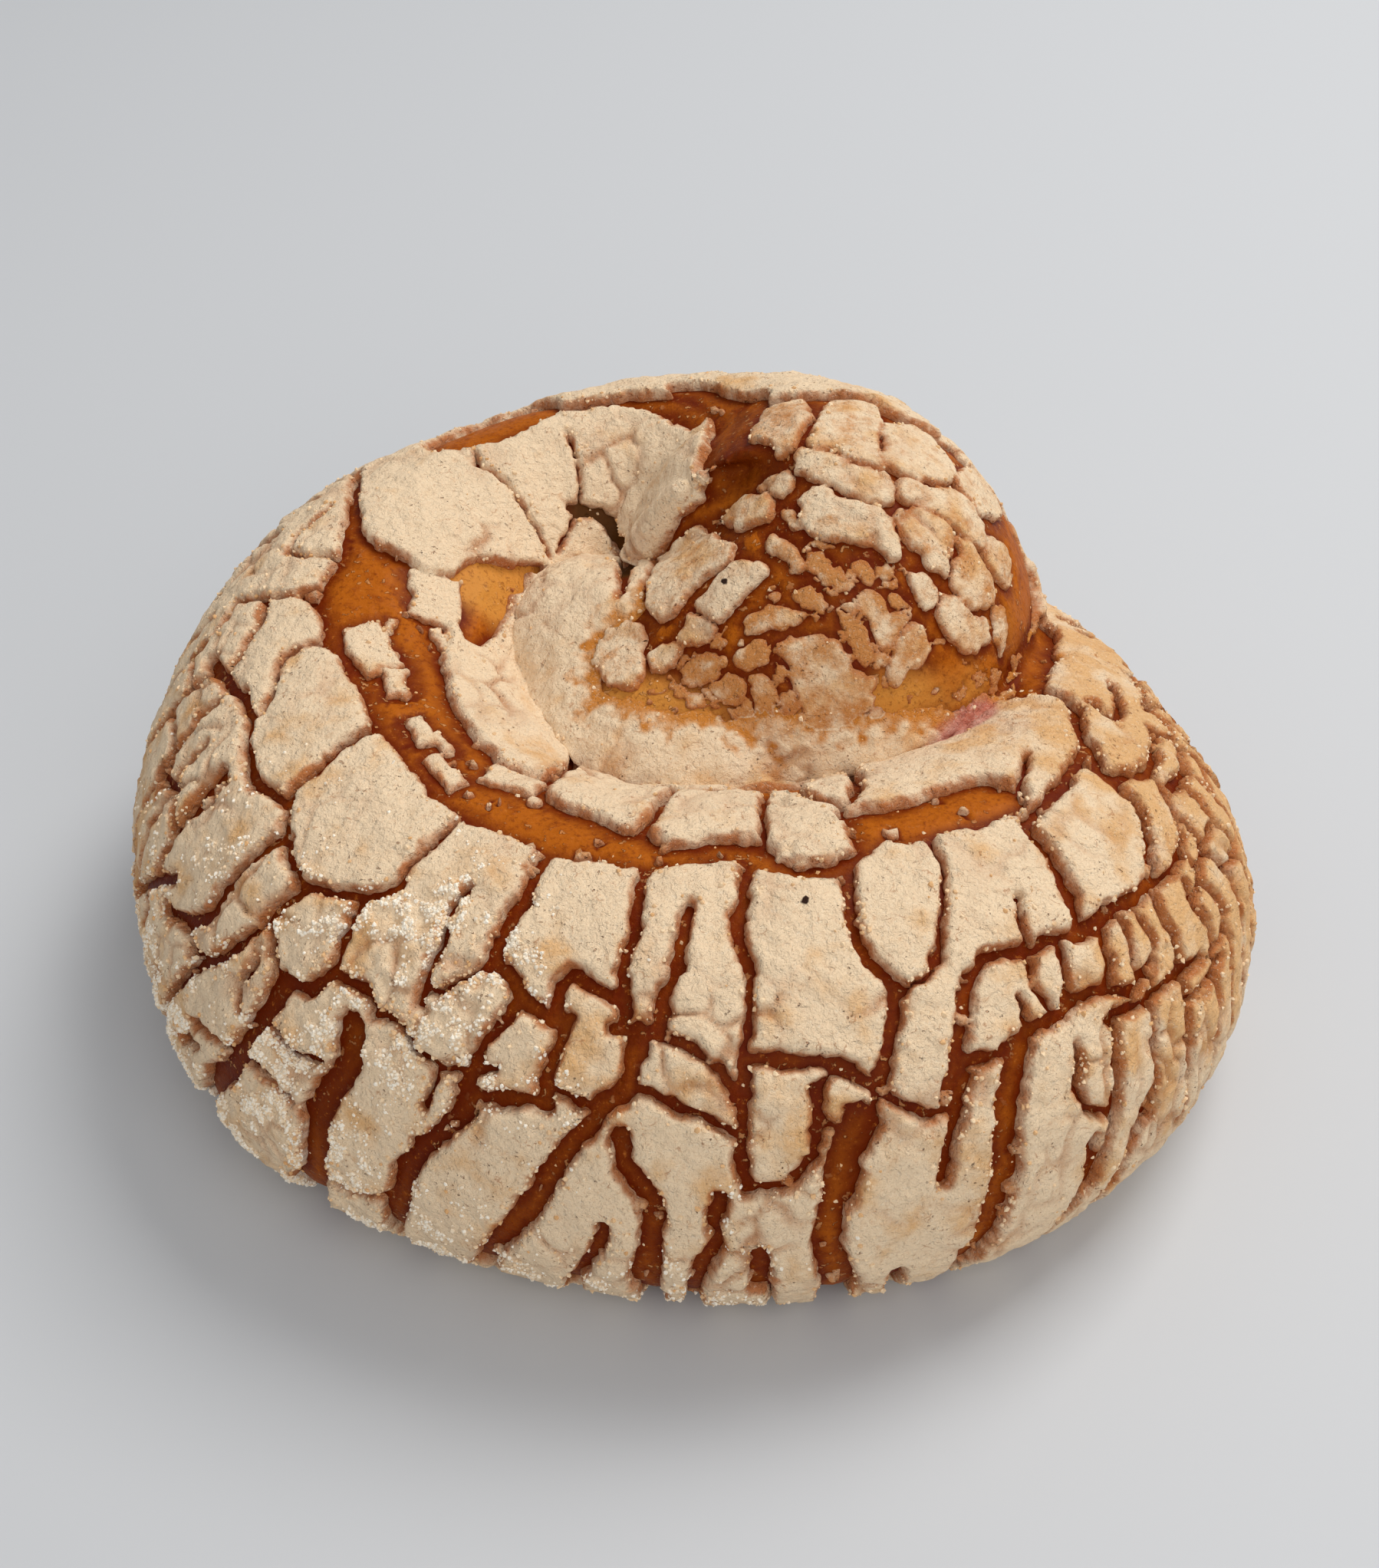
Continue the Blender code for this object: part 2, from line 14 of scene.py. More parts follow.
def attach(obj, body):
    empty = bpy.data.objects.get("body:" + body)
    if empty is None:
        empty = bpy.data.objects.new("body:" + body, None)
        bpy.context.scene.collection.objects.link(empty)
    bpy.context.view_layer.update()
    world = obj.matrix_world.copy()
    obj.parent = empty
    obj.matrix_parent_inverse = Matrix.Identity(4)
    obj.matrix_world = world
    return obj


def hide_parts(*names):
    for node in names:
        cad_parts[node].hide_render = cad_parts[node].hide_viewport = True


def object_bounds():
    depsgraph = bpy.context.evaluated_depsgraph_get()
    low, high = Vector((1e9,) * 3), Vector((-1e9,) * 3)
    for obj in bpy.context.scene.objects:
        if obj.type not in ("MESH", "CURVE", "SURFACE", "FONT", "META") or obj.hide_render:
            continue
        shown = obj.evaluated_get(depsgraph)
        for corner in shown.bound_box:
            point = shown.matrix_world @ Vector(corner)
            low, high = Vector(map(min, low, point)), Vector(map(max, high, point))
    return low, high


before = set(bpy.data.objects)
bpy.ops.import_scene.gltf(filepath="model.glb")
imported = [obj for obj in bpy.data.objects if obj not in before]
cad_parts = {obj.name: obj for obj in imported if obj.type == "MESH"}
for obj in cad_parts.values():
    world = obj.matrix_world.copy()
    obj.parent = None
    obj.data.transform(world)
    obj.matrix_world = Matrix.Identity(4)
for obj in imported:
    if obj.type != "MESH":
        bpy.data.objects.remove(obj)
cad_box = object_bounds()


# ---- The dough ----
# One rope of soft sweet dough, wound clockwise a turn and a half and baked till it fused. Its skin is
# smooth, egg-brown and a little shiny. It is darker red-brown where a crack in the crust is narrow: partly
# its own colour, partly painted shade from the plates beside it.

MM = 0.001
# The middle of the CAD model's box, in the millimetres that the rope below is measured in.
ROLL_CENTRE = (-1.44, -2.86, 0)

# The rope in millimetres, from the tail under the knob to the tip tucked in at the middle. Turn is the
# angle round the roll in degrees, clockwise from +X.
Station = namedtuple("Station", "turn x y height half_width crown")
STATIONS = (
    Station(-40, 34, 28, 12, 12, 14),
    Station(-20, 38.5, 15, 13, 15, 17.5),
    Station(0, 40.5, 2, 13, 18, 20.5),
    Station(30, 38.5, -17.5, 13, 23, 24.5),
    Station(60, 23, -32.5, 13, 26.5, 27),
    Station(90, 1, -36, 13, 27, 27.5),
    Station(105, -10.5, -34, 13, 26.3, 27.5),
    Station(120, -20.5, -29.3, 13, 26.5, 27.5),
    Station(135, -28.2, -23.2, 13, 27.2, 28),
    Station(150, -33, -14.5, 13, 27.5, 28.5),
    Station(180, -38.5, 3, 14, 26, 29),
    Station(210, -34.5, 21, 16, 24, 30),
    Station(240, -22, 34, 17, 20, 29.5),
    Station(270, -5, 39.5, 19, 18, 29.5),
    Station(300, 10, 33.5, 22, 20.5, 30.5),
    Station(330, 16, 22.5, 24, 25, 32.5),
    Station(360, 16.5, 13, 24, 26, 33),
    Station(400, 9, 7.5, 20, 23.5, 31.5),
    Station(450, -4, 9, 15, 19.5, 27.5),
    Station(500, -14, 15, 14, 17.5, 25.5),
)
BELLY_DEPTH = 18  # the rope's lower half-height, before the base is cut flat
# The pleat where the knob turns in over the eye of the spiral: x, y, z and radius at each stop.
PLEAT = ((7, 38, 39, 12.5), (3, 31, 35, 11.5), (0, 23, 31, 9.5), (-2, 15, 27, 8))
# Dough that fills the coil inside: centre and radii of each ellipsoid.
FILLINGS = (
    ((0, 8, 4), (40, 40, 25)),
    ((2, 2, 8), (30, 27, 33.5)),
    ((9, 22, 22), (17, 17, 31)),
)
SOFTENING = 1.96  # how far the creases between turns are softened, in mm
DOUGH_VOXEL = 0.65
CRUST_VOXEL = 0.47


def interpolated(at, stops, values):
    """A smooth curve through values at stops, read at each place in at."""
    tangents = np.gradient(values, stops, axis=0)
    i = np.clip(np.searchsorted(stops, at, side="right") - 1, 0, len(stops) - 2)
    step = (stops[i + 1] - stops[i])[:, None]
    s = (at - stops[i])[:, None] / step
    return (
        (2 * s**3 - 3 * s**2 + 1) * values[i]
        + (s**3 - 2 * s**2 + s) * step * tangents[i]
        + (3 * s**2 - 2 * s**3) * values[i + 1]
        + (s**3 - s**2) * step * tangents[i + 1]
    )


def rope_points(turn, across):
    """Points on the rope. Across is the angle from the crown in degrees, positive towards the outside."""
    turn, across = np.broadcast_arrays(np.asarray(turn, float), np.radians(across))
    stops = np.array([s.turn for s in STATIONS], float)
    values = np.array([s[1:] for s in STATIONS], float)
    at = turn.ravel()
    x, y, height, half_width, crown = interpolated(at, stops, values).T
    ahead = interpolated(at + 0.5, stops, values)[:, :2]
    behind = interpolated(at - 0.5, stops, values)[:, :2]
    along = (ahead - behind) / np.linalg.norm(ahead - behind, axis=1)[:, None]
    side, up = np.sin(across).ravel(), np.cos(across).ravel()
    vertical = np.where(up > 0, crown, BELLY_DEPTH) * up
    points = (x - along[:, 1] * half_width * side, y + along[:, 0] * half_width * side, height + vertical)
    return np.stack(points, axis=-1).reshape(turn.shape + (3,))


def object_of(name, points, faces):
    mesh = bpy.data.meshes.new(name)
    mesh.from_pydata(points, [], faces)
    obj = bpy.data.objects.new(name, mesh)
    bpy.context.scene.collection.objects.link(obj)
    return obj


def evaluated_mesh(obj):
    graph = bpy.context.evaluated_depsgraph_get()
    return bpy.data.meshes.new_from_object(obj.evaluated_get(graph))


def rounded_end(ring, inner_ring):
    """Rings that shrink from an end of the rope to close it with a dome."""
    centre = ring.mean(axis=0)
    heading = centre - inner_ring.mean(axis=0)
    heading /= np.linalg.norm(heading)
    reach = 0.5 * np.linalg.norm(ring - centre, axis=1).mean()
    return [
        centre + (ring - centre) * math.cos(a) + heading * reach * math.sin(a)
        for a in np.radians((25, 50, 70, 84))
    ]


def rope_of_dough():
    """The coiled rope, with a dome at its tail and at its tip."""
    turns = np.arange(STATIONS[0].turn, STATIONS[-1].turn + 1, 3.0)
    rings = rope_points(turns[:, None], np.arange(-180, 180, 6.0)[None, :])
    tail = rounded_end(rings[0], rings[1])[::-1]
    tip = rounded_end(rings[-1], rings[-2])
    rings = np.concatenate([tail, rings, tip])
    count, around = rings.shape[:2]
    faces = [tuple(range(around))[::-1], tuple(range((count - 1) * around, count * around))]
    for i in range(0, (count - 1) * around, around):
        for j in range(around):
            after = (j + 1) % around
            faces.append((i + j, i + after, i + around + after, i + around + j))
    return object_of("rope", rings.reshape(-1, 3).tolist(), faces)


def pleat_of_dough():
    """The fold of dough that hangs from the knob into the eye."""
    stops = np.arange(len(PLEAT), dtype=float)
    path = interpolated(np.linspace(0, stops[-1], 16), stops, np.array(PLEAT, float))
    curve = bpy.data.curves.new("pleat", "CURVE")
    curve.dimensions = "3D"
    curve.bevel_depth = 1
    curve.bevel_resolution = 4
    curve.use_fill_caps = True
    spline = curve.splines.new("POLY")
    spline.points.add(len(path) - 1)
    for point, (x, y, z, radius) in zip(spline.points, path):
        point.co = (x, y, z, 1)
        point.radius = radius
    guide = bpy.data.objects.new("pleat_curve", curve)
    bpy.context.scene.collection.objects.link(guide)
    pleat = bpy.data.objects.new("pleat", evaluated_mesh(guide))
    bpy.context.scene.collection.objects.link(pleat)
    bpy.data.objects.remove(guide)
    return pleat


def filling_of_dough(centre, radii):
    bpy.ops.mesh.primitive_uv_sphere_add(segments=48, ring_count=24, radius=1, location=centre)
    ball = bpy.context.object
    ball.scale = radii
    bpy.ops.object.transform_apply(location=False, rotation=False, scale=True)
    return ball


def lumps_of_dough():
    """Every piece of dough in one object, its pieces still separate."""
    pieces = [rope_of_dough(), pleat_of_dough(), *(filling_of_dough(*f) for f in FILLINGS)]
    bpy.ops.object.select_all(action="DESELECT")
    for piece in pieces:
        piece.select_set(True)
    bpy.context.view_layer.objects.active = pieces[0]
    bpy.ops.object.join()
    bm = bmesh.new()
    bm.from_mesh(pieces[0].data)
    bmesh.ops.recalc_face_normals(bm, faces=bm.faces)
    bm.to_mesh(pieces[0].data)
    bm.free()
    return pieces[0]


def outer_skin(lumps, voxel):
    """A bmesh of the skin that the pieces fuse into, standing on a flat base."""
    fuse = lumps.modifiers.new("Fuse", "REMESH")
    fuse.mode = "VOXEL"
    fuse.voxel_size = voxel
    soften = lumps.modifiers.new("Soften", "SMOOTH")
    soften.factor = 0.5
    soften.iterations = round((SOFTENING / voxel) ** 2)
    bm = bmesh.new()
    bm.from_mesh(evaluated_mesh(lumps))
    lumps.modifiers.clear()
    outer = {max(bm.verts, key=lambda v: v.co.z)}
    front = list(outer)
    while front:
        around = {e.other_vert(v) for v in front for e in v.link_edges} - outer
        outer |= around
        front = list(around)
    bmesh.ops.delete(bm, geom=[v for v in bm.verts if v not in outer], context="VERTS")
    everything = [*bm.verts, *bm.edges, *bm.faces]
    cut = bmesh.ops.bisect_plane(bm, geom=everything, plane_no=(0, 0, 1), clear_inner=True)
    rim = [e for e in cut["geom_cut"] if isinstance(e, bmesh.types.BMEdge)]
    bmesh.ops.edgeloop_fill(bm, edges=rim)
    bmesh.ops.triangulate(bm, faces=bm.faces)
    bmesh.ops.recalc_face_normals(bm, faces=bm.faces)
    return bm


def arrays_of(bm):
    """A bmesh's points, normals and triangles."""
    bm.normal_update()
    bm.verts.index_update()
    points = np.array([v.co for v in bm.verts], float)
    normals = np.array([v.normal for v in bm.verts], float)
    triangles = np.array([[v.index for v in f.verts] for f in bm.faces])
    return points, normals, triangles


lumps = lumps_of_dough()
dough_points, dough_normals, dough_triangles = arrays_of(outer_skin(lumps, DOUGH_VOXEL))
skin_points, skin_normals, skin_triangles = arrays_of(outer_skin(lumps, CRUST_VOXEL))
bpy.data.objects.remove(lumps)
skin = BVHTree.FromPolygons(dough_points.tolist(), dough_triangles.tolist())


# ---- Where the crust is ----
# The crust is a sugar and flour paste laid over the risen rope. It sets before the dough has finished
# growing, so it parts into rows of plates, wider apart where the dough grew most.

# Bare stretches: strokes of dough that the crust never closed over, with their half width in mm.
BARE_ALONG_ROPE = (
    # the bare band along the crown of the coil, from the tail round to the far side
    (
        (45.5, 1, 2.2), (48, -2, 3.4), (53, -3, 3.9), (58, -4, 3.6), (62, -4, 3.5), (66, -7, 3.2),
        (69, 1, 0.8), (72, 4, 0.8), (75, 4.5, 1.2), (78, 3, 1.3), (81, 1, 1.5), (84, -1.5, 1.7),
        (88, -2.5, 1.6), (92, -2.5, 1.6), (96, -2, 1.8), (100, -4, 2.8), (104, -5, 3.1),
        (110, -5, 3.9), (117, -7, 3.8), (121, -8, 4.3), (125, -11, 5), (130, -10, 4.7),
        (140, -10.5, 4.5), (149, -9.5, 4.6), (156, -10.5, 4.3), (165, -12, 5.2), (174, -12.5, 5.7),
        (180, -11.5, 7), (186, -8, 6.5), (193, -7, 4.6), (197, -4, 2.6), (202, 1.5, 1.4),
        (208, 8, 0.9), (214, 16, 0.7), (220, 26, 0.6),
    ),
    # under the far plates, and the brown strip behind them
    ((186, -34, 1.8), (193, -35, 3.1), (200, -34.5, 3.8), (207, -35.5, 3.2), (220, -41, 1.4)),
    (
        (233, 10, 2.5), (237, 13, 4.8), (243, 13, 5.3), (249, 12, 4.8), (254, 5, 1.4), (262, 0, 0.9),
        (268, -1.5, 1), (274, -5, 1.5), (281, -8.5, 1.8), (290, -14, 1.8),
    ),
    # the ledge in front of the knob, and the tail's brown shoulder
    ((71, -38, 2.6), (76, -36, 3.2), (82, -38, 2.6)),
    ((-14, 8, 2), (-6, 2, 1.8), (2, -6, 2), (9, -8, 1.6)),
    # the knob's far flank
    ((292, 30, 5), (305, 48, 9), (322, 52, 10), (338, 54, 9)),
)
BARE_IN_PLAN = (
    ((6.5, 28, 1.2), (9.5, 25.7, 1.3), (10.6, 27.5, 1)),
    ((0, 39.5, 1.2), (4, 36, 1.5), (6.8, 31, 2), (6.6, 25, 2.4), (5.8, 20, 2.6), (4.8, 17, 2)),
    # the dark fold where the pleat meets the eye
    ((-12.5, 26.8, 0.5), (-9, 27, 0.9), (-7.2, 25, 1.1), (-6.4, 20, 1), (-6.2, 14, 0.9), (-6.5, 8, 0.5)),
)
# The bare, shiny top of the knob, by x and y as seen from above.
KNOB_TOP = (
    (6, 24), (6.6, 29), (8.5, 32), (10.5, 31), (11.6, 27), (16, 26), (20, 25.4), (24, 22.4), (28, 22),
    (31, 21), (34, 21.5), (38, 20), (41.4, 16), (41.4, 12), (40, 6), (37.6, 1), (34, -4.2), (30, -7.6),
    (26, -9.2), (22, -10.2), (17, -11), (12, -10.9), (7, -10.4), (3, -9.6), (-1, -9), (-4, -7.4),
    (-6.5, -6.4), (-9, -5.4), (-9, -1), (-9, 3), (-4, 4), (-3.8, 9), (-2.8, 14.6), (0, 15.4), (5, 17),
)
# The plates on it, each by its outline, after their thickness in mm and how brown they baked.
KNOB_PLATES = (
    # thick ones over the top and the right
    (0.96, 0.45, (
        (10, 20.7), (10.5, 24.5), (15.6, 25), (16, 19), (15, 17.7), (14.5, 16), (13.3, 13.8),
        (11.7, 14), (10.3, 16), (8.5, 17.6), (9, 19.7),
    )),
    (0.96, 0.35, (
        (16.3, 17.7), (17, 20), (18, 23), (20.3, 24), (22.7, 23), (23, 17), (22.7, 14), (23.2, 11),
        (22.8, 10.3), (20.3, 10.6), (19, 11.2), (18.3, 12.2), (16, 13.2), (14.9, 14.2), (15.7, 15.3),
    )),
    (0.9, 0.3, (
        (13.3, 13.3), (14.7, 13.7), (16, 12.7), (18.3, 11.6), (19, 10.7), (20.3, 10), (23.2, 9.7),
        (23.7, 8), (23.5, 6), (22.3, 5.3), (20.3, 6), (18, 7.3), (16.3, 8.7), (15, 10), (13.3, 11.7),
    )),
    (1.02, 0.2, (
        (23.2, 18.3), (24.7, 19.3), (26.3, 20.5), (28.7, 20.2), (30, 18), (31, 16), (31, 14), (30, 12),
        (28.3, 11), (27, 10.2), (24.7, 9.9), (23.5, 10.7), (23.2, 12), (23.7, 14.3),
    )),
    (0.96, 0.2, (
        (31.7, 15.7), (33, 18.2), (34.7, 19.8), (36, 18.7), (37, 17), (36.7, 15), (36, 13),
        (34.7, 11.7), (33.3, 10.3), (32.5, 11.3), (31.3, 12.2), (31, 13.4),
    )),
    (0.9, 0.4, (
        (24.3, 9.3), (25.7, 9.6), (28.3, 9.8), (29.7, 11.1), (31.3, 11.5), (32.8, 11), (33.2, 9.3),
        (33.7, 7.7), (33.3, 6), (31.7, 5.5), (30, 5.5), (28.3, 5.9), (26.3, 6.2), (24.7, 6), (24, 7.3),
    )),
    (0.77, 0.5, (
        (33.7, 8), (35, 9.3), (36.7, 10.5), (37, 8.7), (37, 6.3), (36.3, 5), (35.3, 4.3), (33.9, 4.7),
        (33.4, 5.9),
    )),
    (0.9, 0.3, (
        (13.3, 7), (14.3, 7.8), (15.3, 8.3), (16.3, 8), (17.3, 6.7), (19, 6), (20.7, 5.3), (22, 5),
        (23.2, 3.7), (23.7, 2.3), (24.3, 0.3), (23, 0), (21, 1), (19, 1.2), (16.7, 1.7), (15, 2.3),
        (14, 3.3), (13.3, 4.7), (13.7, 6),
    )),
    (0.77, 0.35, (
        (23.4, 3.8), (23.9, 5), (25.3, 5.2), (27, 5.8), (28.7, 5.5), (29.6, 4.8), (29.8, 4), (29.2, 2),
        (29.3, 0.3), (28, 0.2), (26.3, 0.7), (24.7, 1.7), (24, 2.7),
    )),
    (0.77, 0.5, (
        (30.2, 4.7), (31.7, 5.2), (33, 4.3), (34.3, 3), (34.3, 1.3), (33, 0), (31.3, -0.7),
        (29.9, -0.3), (29.8, 1.7), (30.5, 3.3),
    )),
    (0.51, 0.7, (
        (34, -1.3), (34.3, 1), (35.8, 2.5), (35.7, 0.3), (34.8, -1.5),
    )),
    (0.64, 0.3, (
        (25.2, -1), (26.7, -0.3), (28.1, -1), (27.5, -2.3), (26.7, -3), (25.3, -2),
    )),
    (0.7, 0.35, (
        (28.5, -1.1), (30, -0.9), (31.7, -1.1), (33, -0.8), (33.2, -1.7), (31.7, -3.3), (30, -4.3),
        (28.7, -4), (27.8, -2.7),
    )),
    # the row down the left of it
    (0.96, 0.4, (
        (4.9, 13.6), (6, 13.2), (7.4, 13), (8.2, 12.4), (9.1, 11.2), (10.3, 10.7), (10.7, 8.7),
        (10, 6.8), (8.7, 7.3), (7.3, 7.7), (6.5, 9.7), (5.8, 12), (5.2, 13.3), (4.5, 13.9),
    )),
    (0.7, 0.5, (
        (9, 13), (10, 12.8), (11, 12.6), (12.3, 12.3), (13.1, 11), (13, 9.3), (11.7, 9.3), (10.6, 11),
        (9.5, 12),
    )),
    (1.02, 0.3, (
        (-2.3, 14.1), (0, 14.2), (3, 14.2), (3.7, 13), (4.3, 10.7), (5, 8), (6, 5.7), (5.3, 4),
        (3.7, 4), (2, 3.7), (1, 2.7), (-0.3, 1.4), (-1.7, 1.4), (-2.7, 2.7), (-3.2, 4.3), (-3, 6),
        (-3.3, 7.3), (-3, 8.7), (-2.7, 12),
    )),
    (0.9, 0.25, (
        (1.4, 1.1), (3.7, 2), (4, 3), (5.7, 3.2), (8.3, 1.8), (8.7, 0.3), (7, -0.3), (5, -2),
        (4.2, -2.5), (3.2, -0.9),
    )),
    (0.83, 0.25, (
        (0.2, -1), (1.2, 0.4), (2.6, -0.9), (3.6, -2.3), (3.9, -3), (2.7, -3.7), (1.3, -2.7), (0.3, -2),
    )),
    (0.7, 0.3, (
        (-3, -2), (-1.7, -1.3), (-0.2, -1.7), (0.5, -2.7), (-0.3, -3.7), (-1.5, -4.5), (-2.7, -3.7),
    )),
    (0.9, 0.4, (
        (-9.6, 3.3), (-6.7, 3.8), (-5, 3.3), (-3.9, 2), (-3.5, 0), (-3.9, -1.3), (-3.6, -2.7),
        (-3.7, -4.7), (-5.3, -5.7), (-6.7, -5.3), (-8, -4), (-9, -2.7), (-9.8, -0.7), (-10.4, 1.2),
    )),
    (0.58, 0.6, (
        (9.2, 3.3), (9.7, 5), (11, 4), (12, 2.3), (13, 1), (13.2, -0.7), (12.3, -0.7), (11.5, 1),
        (10, 2.3),
    )),
    (0.51, 0.6, (
        (11.5, 7.3), (12.3, 6.7), (13, 5.3), (13.5, 3.9), (12.5, 4.3), (11.6, 5.7),
    )),
    # thin tan ones in front, sunk into the dough
    (0.33, 0.95, (
        (13.7, 0.3), (14.7, 0.7), (16, -0.3), (17, -1.7), (18.2, -2.7), (17.7, -3.3), (16, -2.7),
        (14.7, -1.7), (13.5, -1),
    )),
    (0.3, 1.0, (
        (18, -0.7), (19.7, -0.2), (20.7, -1), (21, -1.8), (20, -2.7), (19, -2),
    )),
    (0.36, 0.8, (
        (21, -1), (22.3, -0.5), (23.3, -1), (23, -1.7), (21.5, -1.7),
    )),
    (0.3, 1.0, (
        (18.8, -3.7), (20.3, -3.3), (22, -4), (22.3, -4.7), (24, -3.9), (24.5, -4.5), (23.3, -6),
        (22, -6.7), (21, -6.7), (20.3, -5.3), (19, -4.7),
    )),
    (0.36, 0.9, (
        (22.3, -3), (23.7, -2.7), (24.7, -3.2), (23.6, -3.7), (22.5, -3.7),
    )),
    (0.58, 0.5, (
        (21.7, -8.2), (22.7, -7), (23.7, -6), (24.7, -5), (26, -4.3), (27.2, -5.3), (26.7, -6.3),
        (25, -7.3), (23.3, -8.3), (22.3, -8.7),
    )),
    (0.36, 0.85, (
        (0.3, -4.3), (2, -4.2), (3, -5.3), (4.3, -6.3), (3.3, -7), (2.3, -6.9), (0.7, -6),
    )),
    (0.33, 1.0, (
        (5.2, -6), (7, -5.5), (8.3, -5.8), (9, -7), (8.3, -7.7), (6.7, -7.6), (5.7, -7),
    )),
    (0.36, 0.9, (
        (6.5, -3.3), (8.3, -3), (10, -3.3), (11, -4), (13, -4.8), (11.7, -5.4), (10, -5.4), (8.3, -4.9),
        (7, -4.3),
    )),
    (0.33, 0.95, (
        (12.1, -2.7), (13.3, -2.3), (14.7, -3.3), (15.3, -4.3), (14.7, -5), (13.3, -4.4), (12.4, -3.5),
    )),
    (0.42, 0.6, (
        (9.7, -7), (11, -6.3), (13.3, -6.7), (16, -6.7), (17, -8.2), (18.3, -8.6), (20.3, -8.6),
        (19.7, -9.9), (17.7, -11.3), (15.7, -12), (13.7, -12), (12.3, -10.2), (11, -8.3),
    )),
    (0.3, 1.0, (
        (16.4, -4.7), (18, -5.3), (19.3, -6), (20.3, -7.3), (20, -8.1), (18.7, -7.9), (17.2, -6.6),
        (16.2, -5.7),
    )),
    (0.36, 0.85, (
        (2.7, -7.4), (4.3, -7.2), (5.5, -7.9), (6.1, -9), (5, -9.5), (3.7, -9),
    )),
    (0.36, 0.8, (
        (6.5, -8.2), (8.3, -8.7), (9.8, -9.7), (9, -10.8), (7, -10),
    )),
    (0.3, 0.95, (
        (-0.8, -5.7), (0.3, -6.7), (1.7, -8), (1.7, -9), (0.7, -8.7), (-0.3, -7.3),
    )),
    (0.36, 0.5, (
        (8.9, -2.1), (9.5, -1.8), (10, -2.2), (9.6, -2.6),
    )),
    (0.51, 0.2, (
        (13.5, 1.2), (14.1, 1.5), (14.4, 1.1), (13.8, 0.9),
    )),
)

